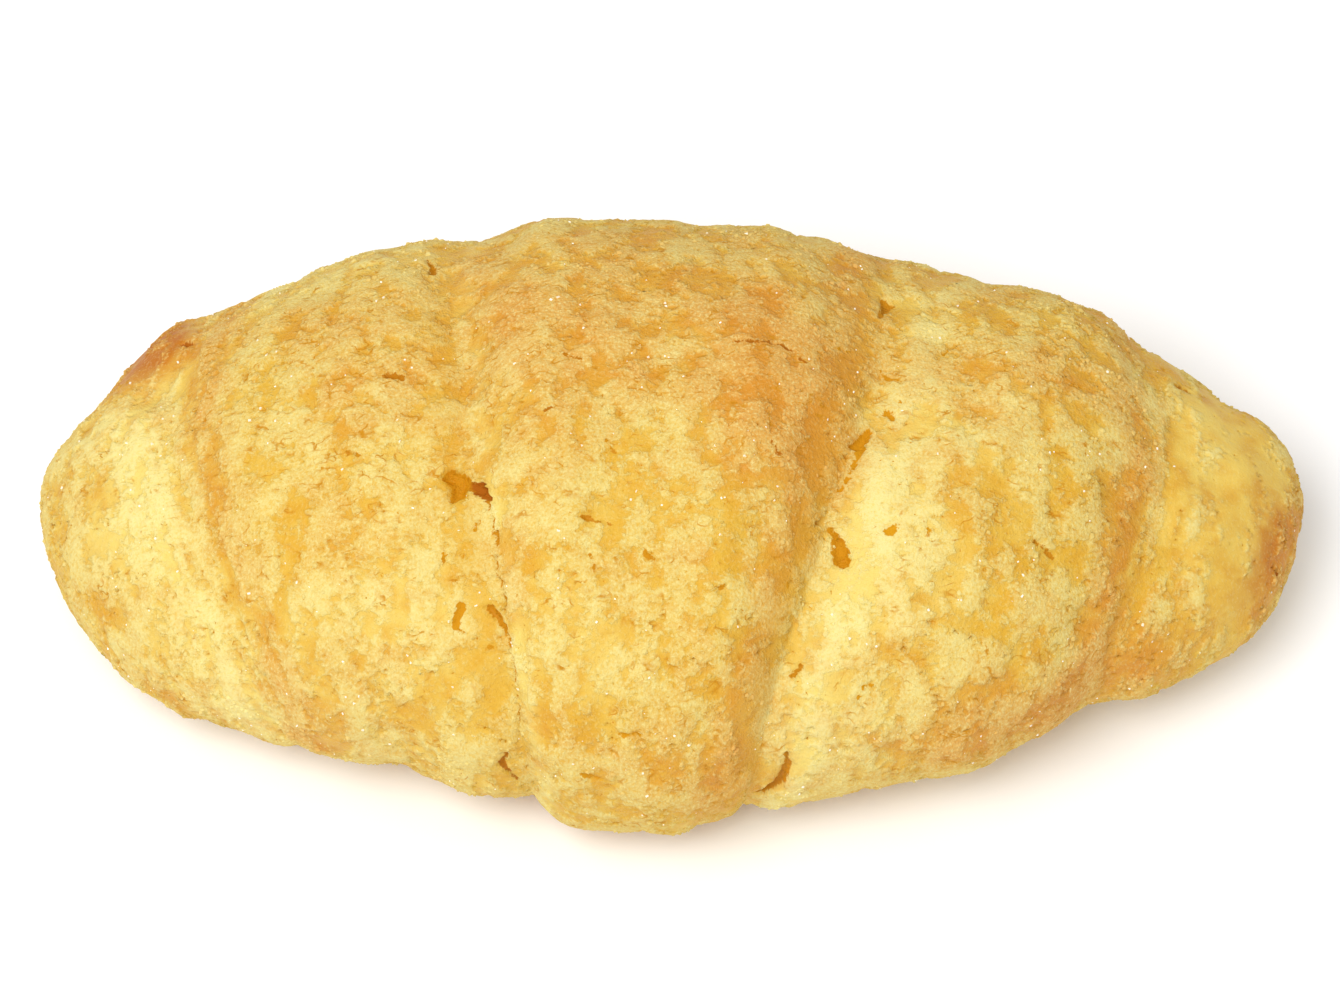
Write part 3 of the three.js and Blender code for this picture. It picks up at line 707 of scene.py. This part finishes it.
def baked_crust(name, look):
    """Baked biscuit crust on sweet dough: dry, matt and sandy cream flakes over a smoother golden layer that has a
    faint sheen from egg and butter. It browns to orange on ridges and stays pale in the furrows. Painted shade darkens
    the bottom of the seams, the cracks, pits, lifted lips and tears, and a patch under the right shoulder, and
    painted light makes the middle turn's left rim paler."""
    material, tree = new_material(name)
    rest = add(tree, "ShaderNodeAttribute", attribute_name="rest").outputs["Vector"]
    fields = {}
    for label in SHARED_FIELDS + ("tear_shade", "base", "crease_shade", "dough"):
        fields[label] = add(tree, "ShaderNodeAttribute", attribute_name=label).outputs["Fac"]
    details = crust_details(tree, rest, fields)

    # Both layers are paler where they have baked least and on a rim with painted light, and browner on ridges and in a
    # patch of painted shade.
    gold = look.gold
    cream = look.cream
    for label, over_gold, over_cream in (("light", look.pale_gold, look.pale_cream),
                                         ("toast_and_shade", look.toasted_gold, look.toasted_cream)):
        gold = add(tree, MIX, {0: fields[label], 6: gold, 7: over_gold}, data_type="RGBA").outputs[2]
        cream = add(tree, MIX, {0: fields[label], 6: cream, 7: over_cream}, data_type="RGBA").outputs[2]
    dough = add(tree, MIX, {0: fields["light"], 6: look.dough, 7: look.pale_gold}, data_type="RGBA")
    dough = add(tree, MIX, {0: fields["toast_and_shade"], 6: dough.outputs[2], 7: look.toasted_dough}, data_type="RGBA")
    gold = add(tree, MIX, {0: fields["dough"], 6: gold, 7: dough.outputs[2]}, data_type="RGBA").outputs[2]
    # Painted shade darkens the inside of each tear by its listed share.
    inner = add(tree, MIX, {0: fields["tear_shade"], 6: look.torn, 7: look.torn_shade}, data_type="RGBA")

    # Flakes are paler the thicker they lie, with golden specks between their sandy grains.
    thick = add(tree, MAP_RANGE, {0: details["level"], 1: 0.42, 2: 0.62})
    grain = add(tree, NOISE, {"Vector": rest, "Scale": 1 / GRAIN, "Detail": 1.0, "Roughness": 0.7})
    sand = add(tree, MAP_RANGE, {0: grain, 1: 0.28, 2: 0.52, 3: 0.45, 4: 1.0})
    lit = add(tree, MATH, {0: details["flake"], 1: 0.45}, operation="MULTIPLY")
    lit = add(tree, MATH, {0: thick, 1: 0.55, 2: lit}, operation="MULTIPLY_ADD")
    lit = add(tree, MATH, {0: lit, 1: sand}, operation="MULTIPLY")
    bright = add(tree, MAP_RANGE, {0: grain, 1: 0.54, 2: 0.72, 3: 0.0, 4: 0.55})
    sprinkled = add(tree, MAP_RANGE, {0: details["flake"], 3: 0.4, 4: 1.0})
    bright = add(tree, MATH, {0: bright, 1: sprinkled}, operation="MULTIPLY")
    speck = add(tree, MAP_RANGE, {0: grain, 1: 0.3, 2: 0.44, 3: 0.35, 4: 0.0})
    # Painted shade in cracks and pits, and a painted shadow under each lifted lip.
    line_shade = add(tree, MATH, {0: details["lip"], 1: 0.5}, operation="MULTIPLY")
    line_shade = add(tree, MATH, {0: details["crack"], 1: line_shade}, operation="MAXIMUM")
    line_shade = add(tree, MATH, {0: line_shade, 1: details["pit"]}, operation="MAXIMUM")
    line_shade = add(tree, MATH, {0: line_shade, 1: 0.95}, operation="MULTIPLY")

    # The base browns unevenly on the tray, and its edge follows the flakes.
    base = add(tree, MIX, {0: fields["toast_and_shade"], 6: look.base, 7: look.toasted_base}, data_type="RGBA")
    under = add(tree, MATH, {0: details["level"], 1: 1.6, 2: fields["base"]}, operation="MULTIPLY_ADD")
    under = add(tree, MAP_RANGE, {0: under, 1: 1.15, 2: 1.6})
    # Painted shade goes into the bottom of the seams, the cracks, pits and lifted lips, and the insides of tears.
    colour = gold
    for share, over in ((lit, cream), (speck, gold), (bright, look.pale_cream), (fields["crease_shade"], look.crease_shade),
                        (under, base.outputs[2]), (line_shade, look.crack), (details["hollow"], inner.outputs[2])):
        colour = add(tree, MIX, {0: share, 6: colour, 7: over}, data_type="RGBA").outputs[2]

    # The smooth layer has a faint sheen; flakes, cracks and the base are dry.
    rough = add(tree, MAP_RANGE, {0: details["flake"], **SMOOTH_TO_FLAKE})
    height = 0.0
    for part, share in ((details["fine"], 0.45), (details["flake"], 0.08), (grain, 0.15)):
        height = add(tree, MATH, {0: part, 1: share, 2: height}, operation="MULTIPLY_ADD")
    strength = add(tree, MAP_RANGE, {0: fields["dough"], **CRUST_TO_DOUGH})
    bump = add(tree, "ShaderNodeBump", {"Height": height, "Distance": BUMP_HEIGHT * MM, "Strength": strength})
    shader = add(tree, "ShaderNodeBsdfPrincipled", {
        "Base Color": colour, "Roughness": rough, "Normal": bump, "IOR": CRUST_IOR, "Specular IOR Level": MATT})
    add(tree, "ShaderNodeOutputMaterial", {"Surface": shader})
    return material


def crumb_finish(name, look):
    """Crumbs of baked biscuit: the crust's dry, matt flakes, paler or browner with the crust that they lie on."""
    material, tree = new_material(name)
    colour = look.cream
    for label, over in (("light", look.pale_cream), ("toast_and_shade", look.toasted_cream)):
        share = add(tree, "ShaderNodeAttribute", attribute_name=label).outputs["Fac"]
        colour = add(tree, MIX, {0: share, 6: colour, 7: over}, data_type="RGBA").outputs[2]
    shader = add(tree, "ShaderNodeBsdfPrincipled", {
        "Base Color": colour, "Roughness": CRUMB_ROUGHNESS, "IOR": CRUST_IOR, "Specular IOR Level": MATT})
    add(tree, "ShaderNodeOutputMaterial", {"Surface": shader})
    return material


def sugar_finish(name, look):
    """Coarse sugar: clear, colourless crystals that look white where they catch the light."""
    material, tree = new_material(name)
    place = tree.nodes.new("ShaderNodeTexCoord").outputs["Object"]
    frost = add(tree, NOISE, {"Vector": place, "Scale": 1 / (FROST * MM), "Detail": 2.0})
    colour = add(tree, MIX, {0: frost, 6: look.sugar, 7: look.sugar_shade}, data_type="RGBA").outputs[2]
    rough = add(tree, MAP_RANGE, {0: frost, **CLEAR_TO_FROSTED})
    shader = add(tree, "ShaderNodeBsdfPrincipled", {
        "Base Color": colour, "Roughness": rough, "IOR": SUGAR_IOR, "Specular IOR Level": CRYSTAL_SHINE})
    add(tree, "ShaderNodeOutputMaterial", {"Surface": shader})
    return material


def paper_finish(name, colour):
    """Matt studio paper, with a grain too fine to see."""
    material, tree = new_material(name)
    shader = add(tree, "ShaderNodeBsdfPrincipled", {
        "Base Color": colour, "Roughness": PAPER_ROUGHNESS, "Specular IOR Level": PAPER_SHINE})
    add(tree, "ShaderNodeOutputMaterial", {"Surface": shader})
    return material


# --- Sizes and colours that a user would change.

def size_property(name, description, default):
    """A length in metres."""
    return FloatProperty(name=name, description=description, default=default, min=0, precision=5, unit="LENGTH",
                         subtype="DISTANCE")


def colour_property(name, description, code):
    """A colour with alpha."""
    return FloatVectorProperty(name=name, description=description, default=linear_colour(code), size=4, min=0, max=1,
                               subtype="COLOR")


class RollCrustSettings(bpy.types.PropertyGroup):
    """Sizes and colours of the roll's crust."""

    length: size_property("Length", "From tip to tip", LENGTH * MM)
    flake_size: size_property("Flake size", "Typical width of the crust's flakes", 3.6 * MM)
    flake_height: size_property("Flake height", "How far flakes stand above the smooth layer", 0.2 * MM)
    lump_size: size_property("Lump size", "Width of the lumps on flakes", 0.9 * MM)
    lump_height: size_property("Lump height", "Height of the lumps on flakes", 0.1 * MM)
    crack_depth: size_property("Crack depth", "Depth of the hairline cracks", 0.18 * MM)
    pit_spacing: size_property("Pit spacing", "Distance between places where a pit may be", 1.9 * MM)
    pit_depth: size_property("Pit depth", "Depth of the pits", 0.35 * MM)
    seed: IntProperty(name="Seed", description="Changes where flakes, cracks and pits lie", default=3, min=0)
    gold: colour_property("Gold", "Smooth layer", "#D6A631")
    pale_gold: colour_property("Pale gold", "Smooth layer where it has baked least", "#E4CA6B")
    toasted_gold: colour_property("Toasted gold", "Smooth layer where it has browned", "#CE8A2A")
    cream: colour_property("Cream", "Flakes", "#DAC16F")
    pale_cream: colour_property("Pale cream", "Flakes where they have baked least", "#E7D88F")
    toasted_cream: colour_property("Toasted cream", "Flakes where they have browned", "#D6A656")
    # Painted shade in the bottom of the seams.
    crease_shade: colour_property("Crease", "Bottom of the inner seams", "#D2A032")
    # Painted shade inside cracks and pits, and a painted shadow under lifted lips.
    crack: colour_property("Crack", "Inside cracks and pits", "#C4840E")
    torn: colour_property("Torn", "Inside shallow tears", "#D69A12")
    # Painted shade inside tears.
    torn_shade: colour_property("Deep tear", "Inside deep tears", "#A85E08")
    dough: colour_property("Dough", "Bread dough at the right tip, where there is no biscuit crust", "#DFB446")
    toasted_dough: colour_property("Toasted dough", "Bread dough where it has browned", "#BA6C10")
    base: colour_property("Base", "Underside, browned by the baking tray", "#D09A50")
    toasted_base: colour_property("Toasted base", "Underside where it has browned most", "#98581C")


class RollSugarSettings(bpy.types.PropertyGroup):
    """Size, number and colours of the sugar crystals."""

    crystal_size: size_property("Crystal size", "Mean width of a crystal", 0.2 * MM)
    crystals: FloatProperty(name="Crystals", description="Crystals for each square centimetre", default=4.0, min=0)
    seed: IntProperty(name="Seed", description="Changes where the crystals lie", default=11, min=0)
    sugar: colour_property("Sugar", "Crystal faces", "#FFFDF2")
    sugar_shade: colour_property("Sugar shade", "Frosted crystal faces", "#F6E9C4")


class RollCrumbSettings(bpy.types.PropertyGroup):
    """Size, number and shape of the crumbs."""

    crumb_size: size_property("Crumb size", "Mean width of a crumb", 0.46 * MM)
    crumbs: FloatProperty(name="Crumbs", description="Crumbs for each square centimetre of flakes", default=60.0,
                          min=0)
    seed: IntProperty(name="Seed", description="Changes where the crumbs lie", default=5, min=0)


class RollStageSettings(bpy.types.PropertyGroup):
    """Camera, lights and floor."""

    camera_distance: size_property("Camera distance", "From the camera to the roll", 0.7)
    elevation: FloatProperty(name="Elevation", description="Angle of the camera above the horizon",
                             default=math.radians(62), subtype="ANGLE")
    focal_length: FloatProperty(name="Focal length", description="In millimetres, on a 36 mm sensor", default=169.26)
    key_power: FloatProperty(name="Key light", description="Power of the large light at the left, in watts",
                             default=5.4)
    fill_power: FloatProperty(name="Fill light", description="Power of the weak light at the right, in watts",
                              default=0.4)
    sky: FloatProperty(name="Surrounding light", description="Strength of the even light from all sides", default=0.68)
    floor: colour_property("Floor", "Pale studio paper", "#FCFCFC")


# --- Operators.

# The stage: the camera's aim and sensor are in millimetres, the rest in metres. Each light has a place and a width.
CAMERA_AIM = (-0.2, 2.02, 20.84)
CAMERA_SENSOR = 36
CAMERA_SIGHT = (0.01, 20)
LIGHTS = {"key": ((-0.245, -0.283, 0.82), 0.45), "fill": ((0.6, -0.55, 0.5), 0.6)}
LIGHTS_AIM = (0, 0, 0.02)
FLOOR_HALF = 3.0

# Crumbs and sugar begin to lie between these heights in millimetres, and vary by these shares of their mean width.
CLEAR_OF_TRAY = (3.0, 9.0)
SIZE_SPREAD = (0.55, 1.5)
WIDTH_SPREAD = (0.6, 1.3)
FULL_TURN = 6.28  # radians, about every axis
CRYSTAL_FORM = (1.0, 0.8, 0.7)
CRUMB_SUNK, CRYSTAL_SUNK = 0.26, 0.15  # share of its width that each lies in the crust


class ROLL_OT_stage(bpy.types.Operator):
    """Makes the camera, the lights and the pale floor"""

    bl_idname = "roll.stage"
    bl_label = "Stage"
    bl_options = {"REGISTER", "UNDO"}

    def execute(self, context):
        scene = context.scene
        look = scene.roll_stage
        forward = Vector((0, math.cos(look.elevation), -math.sin(look.elevation)))
        lens = bpy.data.cameras.new("camera")
        lens.sensor_width = CAMERA_SENSOR
        lens.lens = look.focal_length
        lens.clip_start, lens.clip_end = CAMERA_SIGHT
        camera = new_object("camera", lens)
        camera.location = Vector(CAMERA_AIM) * MM - forward * look.camera_distance
        camera.rotation_euler = forward.to_track_quat("-Z", "Y").to_euler()
        scene.camera = camera

        for name, power in (("key", look.key_power), ("fill", look.fill_power)):
            place, width = LIGHTS[name]
            light = bpy.data.lights.new(name, "AREA")
            light.energy = power
            light.size = width
            lamp = new_object(name, light)
            lamp.location = place
            lamp.rotation_euler = (Vector(LIGHTS_AIM) - lamp.location).to_track_quat("-Z", "Y").to_euler()
        world = bpy.data.worlds.new("studio")
        world.use_nodes = True
        sky = world.node_tree.nodes["Background"].inputs
        sky["Color"].default_value = (1, 1, 1, 1)
        sky["Strength"].default_value = look.sky
        scene.world = world
        scene.view_settings.view_transform = "Standard"

        half = FLOOR_HALF
        mesh = bpy.data.meshes.new("floor")
        mesh.from_pydata([(-half, -half, 0), (half, -half, 0), (half, half, 0), (-half, half, 0)], [], [(0, 1, 2, 3)])
        floor = new_object("floor", mesh)
        mesh.materials.append(paper_finish("studio paper", look.floor))
        return {"FINISHED"}


def form_fields(x, angle, points):
    """The crust's fields at each point of the smooth form: those that are places, and those that are numbers."""
    height = points[:, 2]
    shift = seam_offset(x, angle)
    wrap = points - np.stack([shift, 0 * shift, 0 * shift], -1)
    inside, depth, tear_shade = tear_fields(points)
    outer_left = x - around(OUTER_TURN["left"]["seam"], angle)
    outer_right = around(OUTER_TURN["right"]["seam"], angle) - x
    from_seams = np.minimum(outer_left, outer_right)
    streak = (1 - smooth_step(*STREAKS_INSIDE, from_seams)) * (
        TIP_STREAKS + (1 - TIP_STREAKS) * smooth_step(*STREAKS_OUTSIDE, from_seams))
    upper = smooth_step(*UPPER_CRUST, height)
    wavy = height
    for place, (stray, pace) in zip((x, points[:, 1]), BASE_WAVES):
        wavy = wavy + stray * np.sin(pace * place)
    lower_back = smooth_step(*BACK_SHARE, np.cos(angle)) * (1 - smooth_step(*LOWER_BACK, height))
    browner, paler, bare, smooth = seam_tints(x, angle)
    fields = {
        "cover": patch_field(COVER_PATCHES, x, angle) + COVER + CREASE_COVER * bare + RIM_COVER * smooth,
        "streak": streak * STREAK_STRENGTH,
        "inside": inside,
        "depth": depth,
        "tear_shade": tear_shade,
        # The browned share includes a patch of painted shade under the right shoulder.
        "browning_and_shade": browner + patch_field(BROWN_AND_SHADE_PATCHES, x, angle) + LOW_BROWNING * (1 - upper)
        + BACK_BROWNING * lower_back,
        # Paler includes painted light on the middle turn's left rim.
        "pale": (paler + patch_field(PALE_PATCHES, x, angle)) * upper,
        "base": (1 - smooth_step(*BASE_EDGE, wavy)) * np.where(np.sin(angle) < 0, 1, 0),
        # Painted shade in the bottom of the seams.
        "crease_shade": CREASE_SHADE_STRENGTH * bare,
        "dough": smooth_step(*DOUGH_EDGE, patch_field(DOUGH_PATCHES, x, angle)),
    }
    return {"rest": points * DRAWN_OUT, "wrap": wrap * DRAWN_OUT}, fields


def form_mesh(name, scale, spacing):
    """The smooth form as a closed mesh, with its fields as attributes."""
    rings = int(LENGTH * RING_EXCESS / spacing)
    ring_x = HALF * np.sin(math.pi / 2 * np.linspace(-1, 1, rings + 2)[1:-1])
    angles = np.radians(np.concatenate([
        np.linspace(*SHOWN_ARC, int(SHOWN_GIRTH / spacing), endpoint=False),
        np.linspace(*HIDDEN_ARC, int(HIDDEN_GIRTH / spacing), endpoint=False)]))
    steps = len(angles)
    x, angle = np.meshgrid(ring_x, angles, indexing="ij")
    x = np.concatenate([x.ravel(), [-HALF, HALF]])
    angle = np.concatenate([angle.ravel(), [math.pi / 2, math.pi / 2]])
    points = surface_points(x, angle)

    # Four-sided faces between the rings, and a fan of triangles around the point of each tip.
    ring = np.arange(rings - 1)[:, None] * steps
    step = np.arange(steps)
    after = (step + 1) % steps
    quads = np.stack([ring + step, ring + after, ring + steps + after, ring + steps + step], -1)
    last_ring = (rings - 1) * steps
    left_tip = rings * steps
    left_fan = np.stack([np.full(steps, left_tip), after, step], -1)
    right_fan = np.stack([np.full(steps, left_tip + 1), last_ring + step, last_ring + after], -1)
    loops = np.concatenate([quads.ravel(), left_fan.ravel(), right_fan.ravel()]).astype(np.int32)
    counts = np.concatenate([np.full((rings - 1) * steps, 4), np.full(2 * steps, 3)])
    starts = np.concatenate([[0], np.cumsum(counts)[:-1]]).astype(np.int32)

    mesh = bpy.data.meshes.new(name)
    mesh.vertices.add(len(points))
    mesh.vertices.foreach_set("co", (points * scale * MM).astype(np.float32).ravel())
    mesh.loops.add(len(loops))
    mesh.loops.foreach_set("vertex_index", loops)
    mesh.polygons.add(len(counts))
    mesh.polygons.foreach_set("loop_start", starts)
    mesh.update(calc_edges=True)
    mesh.validate()
    mesh.shade_smooth()

    places, fields = form_fields(x, angle, points)
    for label, values in places.items():
        mesh.attributes.new(label, "FLOAT_VECTOR", "POINT").data.foreach_set(
            "vector", values.astype(np.float32).ravel())
    for label, values in fields.items():
        mesh.attributes.new(label, "FLOAT", "POINT").data.foreach_set("value", values.astype(np.float32))
    return mesh


class ROLL_OT_crust(bpy.types.Operator):
    """Makes the roll with its crust as one closed mesh"""

    bl_idname = "roll.crust"
    bl_label = "Roll and crust"
    bl_options = {"REGISTER", "UNDO"}

    def execute(self, context):
        look = context.scene.roll_crust
        if look.length <= 0:
            raise RuntimeError("the roll needs a length above zero")
        mesh = form_mesh("roll", look.length / LENGTH / MM, GRID)
        roll = new_object("roll", mesh)
        relief = roll.modifiers.new("relief", "NODES")
        relief.node_group = relief_tree()
        set_inputs(relief, {
            **{label: getattr(look, label.lower().replace(" ", "_")) / MM for label in RELIEF_SIZES},
            "Seed": float(look.seed), "Material": baked_crust("baked biscuit crust", look)})
        most = MOST_TRIANGLES
        mesh.calc_loop_triangles()
        thin = roll.modifiers.new("thin", "DECIMATE")
        thin.ratio = min(1.0, most / len(mesh.loop_triangles))
        mesh = settle(roll, "roll")
        drop_folds(mesh)

        # Thinning moves some points by a hundredth of a millimetre, so the base is made flat again.
        places = np.empty(len(mesh.vertices) * 3, np.float32)
        mesh.vertices.foreach_get("co", places)
        places[2::3] = np.maximum(places[2::3], 0)
        mesh.vertices.foreach_set("co", places)
        mesh.shade_smooth()
        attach(roll, BODY)
        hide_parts(CAD_NODE)
        return {"FINISHED"}


def scatter_tree(name, shape, sunk):
    """A tree that scatters turned and scaled copies of a small shape over the upper crust and makes them real.

    shape is "cube" or "lump", and sunk is how far each lies in the crust, as a share of its width.
    """
    tree, given = new_tree(name, [("Size", "Float"), ("Density", "Float"), ("Flakes only", "Float"), ("Seed", "Int"),
                                  ("Material", "Material")])
    place = tree.nodes.new("GeometryNodeInputPosition")
    up = add(tree, "ShaderNodeSeparateXYZ", {0: place})
    clear = add(tree, MAP_RANGE, {0: up.outputs[2], 1: CLEAR_OF_TRAY[0] * MM, 2: CLEAR_OF_TRAY[1] * MM})
    flakes = add(tree, "GeometryNodeInputNamedAttribute", {"Name": "flake_field"}, data_type="FLOAT")
    flakes = add(tree, MAP_RANGE, {0: flakes, 1: 0.47, 2: 0.53})
    flakes = add(tree, MIX, {0: given["Flakes only"], 2: 1.0, 3: flakes})
    bare = add(tree, "GeometryNodeInputNamedAttribute", {"Name": "dough"}, data_type="FLOAT")
    bare = add(tree, MAP_RANGE, {0: bare, 3: 1.0, 4: 0.1})
    torn = add(tree, "GeometryNodeInputNamedAttribute", {"Name": "hollow_field"}, data_type="FLOAT")
    torn = add(tree, MAP_RANGE, {0: torn, 1: -0.4, 2: -0.1, 3: 1.0, 4: 0.0})

    # Crystals and crumbs lie in loose groups 6 to 10 mm apart.
    group = add(tree, NOISE, {"Vector": place, "Scale": 1 / (GROUP * MM), "Detail": 3.0, "Roughness": 0.7})
    group = add(tree, MAP_RANGE, {0: group, 1: 0.45, 2: 0.62, 3: 0.1, 4: 2.6})
    density = given["Density"]
    for share in (clear, flakes, bare, torn, group):
        density = add(tree, MATH, {0: density, 1: share}, operation="MULTIPLY").outputs[0]
    spots = add(tree, "GeometryNodeDistributePointsOnFaces", {
        "Mesh": given["Geometry"], "Density": density, "Seed": given["Seed"]})
    varied = []
    for kind, inputs in (("FLOAT", {2: SIZE_SPREAD[0], 3: SIZE_SPREAD[1]}),
                         ("FLOAT_VECTOR", {0: (0.0,) * 3, 1: (FULL_TURN,) * 3}),
                         ("FLOAT_VECTOR", {0: (WIDTH_SPREAD[0],) * 3, 1: (WIDTH_SPREAD[1],) * 3})):
        varied.append(add(tree, "FunctionNodeRandomValue", {**inputs, "Seed": given["Seed"]}, data_type=kind))
    size_share, any_way, stretch = varied
    width = add(tree, MATH, {0: size_share.outputs[1], 1: given["Size"]}, operation="MULTIPLY")
    if shape == "cube":
        one = add(tree, "GeometryNodeMeshCube", {"Size": CRYSTAL_FORM})
    else:
        one = add(tree, "GeometryNodeMeshIcoSphere", {"Radius": 0.5, "Subdivisions": 1})
    size = add(tree, VECTOR_MATH, {0: stretch, "Scale": width}, operation="SCALE")
    depth = add(tree, MATH, {0: given["Size"], 1: -sunk}, operation="MULTIPLY")
    sink = add(tree, VECTOR_MATH, {0: spots.outputs["Normal"], "Scale": depth}, operation="SCALE")
    lowered = add(tree, "GeometryNodeSetPosition", {"Geometry": spots.outputs["Points"], "Offset": sink})
    copies = add(tree, "GeometryNodeInstanceOnPoints", {
        "Points": lowered, "Instance": one.outputs[0], "Rotation": any_way, "Scale": size})
    end_tree(tree, copies, given["Material"])
    return tree


def scatter(name, shape, sunk, material, values):
    """Scatters small shapes over the crust as one plain mesh that rides the body."""
    roll = bpy.data.objects.get("roll")
    if roll is None:
        raise RuntimeError("make the roll and its crust first")
    made = new_object(name, roll.data.copy())
    modifier = made.modifiers.new("scatter", "NODES")
    modifier.node_group = scatter_tree(name, shape, sunk)
    set_inputs(modifier, {**values, "Material": material})
    mesh = settle(made, name)
    if not mesh.polygons:
        raise RuntimeError("nothing was scattered for " + name)
    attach(made, BODY)


class ROLL_OT_crumbs(bpy.types.Operator):
    """Scatters crumbs of biscuit crust over the flakes"""

    bl_idname = "roll.crumbs"
    bl_label = "Crumbs"
    bl_options = {"REGISTER", "UNDO"}

    def execute(self, context):
        look = context.scene.roll_crumbs
        finish = crumb_finish("loose biscuit crumbs", context.scene.roll_crust)
        scatter("crumbs", "lump", CRUMB_SUNK, finish, {
            "Size": look.crumb_size, "Density": look.crumbs * PER_CM2 * 1.0,
            "Flakes only": 1.0, "Seed": look.seed})
        return {"FINISHED"}


class ROLL_OT_sugar(bpy.types.Operator):
    """Scatters grains of coarse sugar over the crust"""

    bl_idname = "roll.sugar"
    bl_label = "Sugar"
    bl_options = {"REGISTER", "UNDO"}

    def execute(self, context):
        look = context.scene.roll_sugar
        finish = sugar_finish("coarse sugar", look)
        scatter("sugar", "cube", CRYSTAL_SUNK, finish, {
            "Size": look.crystal_size, "Density": look.crystals * PER_CM2, "Flakes only": 0.0, "Seed": look.seed})
        return {"FINISHED"}


class ROLL_PT_panel(bpy.types.Panel):
    """Lists the pieces of the roll and their sizes"""

    bl_idname = "ROLL_PT_panel"
    bl_label = "Sweet roll"
    bl_space_type = "VIEW_3D"
    bl_region_type = "UI"
    bl_category = "Sweet roll"

    def draw(self, context):
        layout = self.layout
        for operator, settings, group in PIECES:
            box = layout.box()
            box.operator(operator)
            for name in group.__annotations__:
                box.prop(getattr(context.scene, settings), name)


# Each operator, the name of its settings on the scene, and their class.
PIECES = [("roll.stage", "roll_stage", RollStageSettings), ("roll.crust", "roll_crust", RollCrustSettings),
          ("roll.crumbs", "roll_crumbs", RollCrumbSettings), ("roll.sugar", "roll_sugar", RollSugarSettings)]
CLASSES = [RollCrustSettings, RollSugarSettings, RollCrumbSettings, RollStageSettings, ROLL_OT_stage, ROLL_OT_crust,
           ROLL_OT_crumbs, ROLL_OT_sugar, ROLL_PT_panel]


def register():
    """Registers the classes and their settings."""
    for one in CLASSES:
        bpy.utils.register_class(one)
    for _, name, group in PIECES:
        setattr(bpy.types.Scene, name, PointerProperty(type=group))


def unregister():
    """Takes the classes and their settings away again."""
    for _, name, _ in PIECES:
        delattr(bpy.types.Scene, name)
    for one in reversed(CLASSES):
        bpy.utils.unregister_class(one)


def main():
    """Makes every piece."""
    register()
    bpy.ops.roll.stage()
    bpy.ops.roll.crust()
    bpy.ops.roll.crumbs()
    bpy.ops.roll.sugar()


if __name__ == "__main__":
    main()
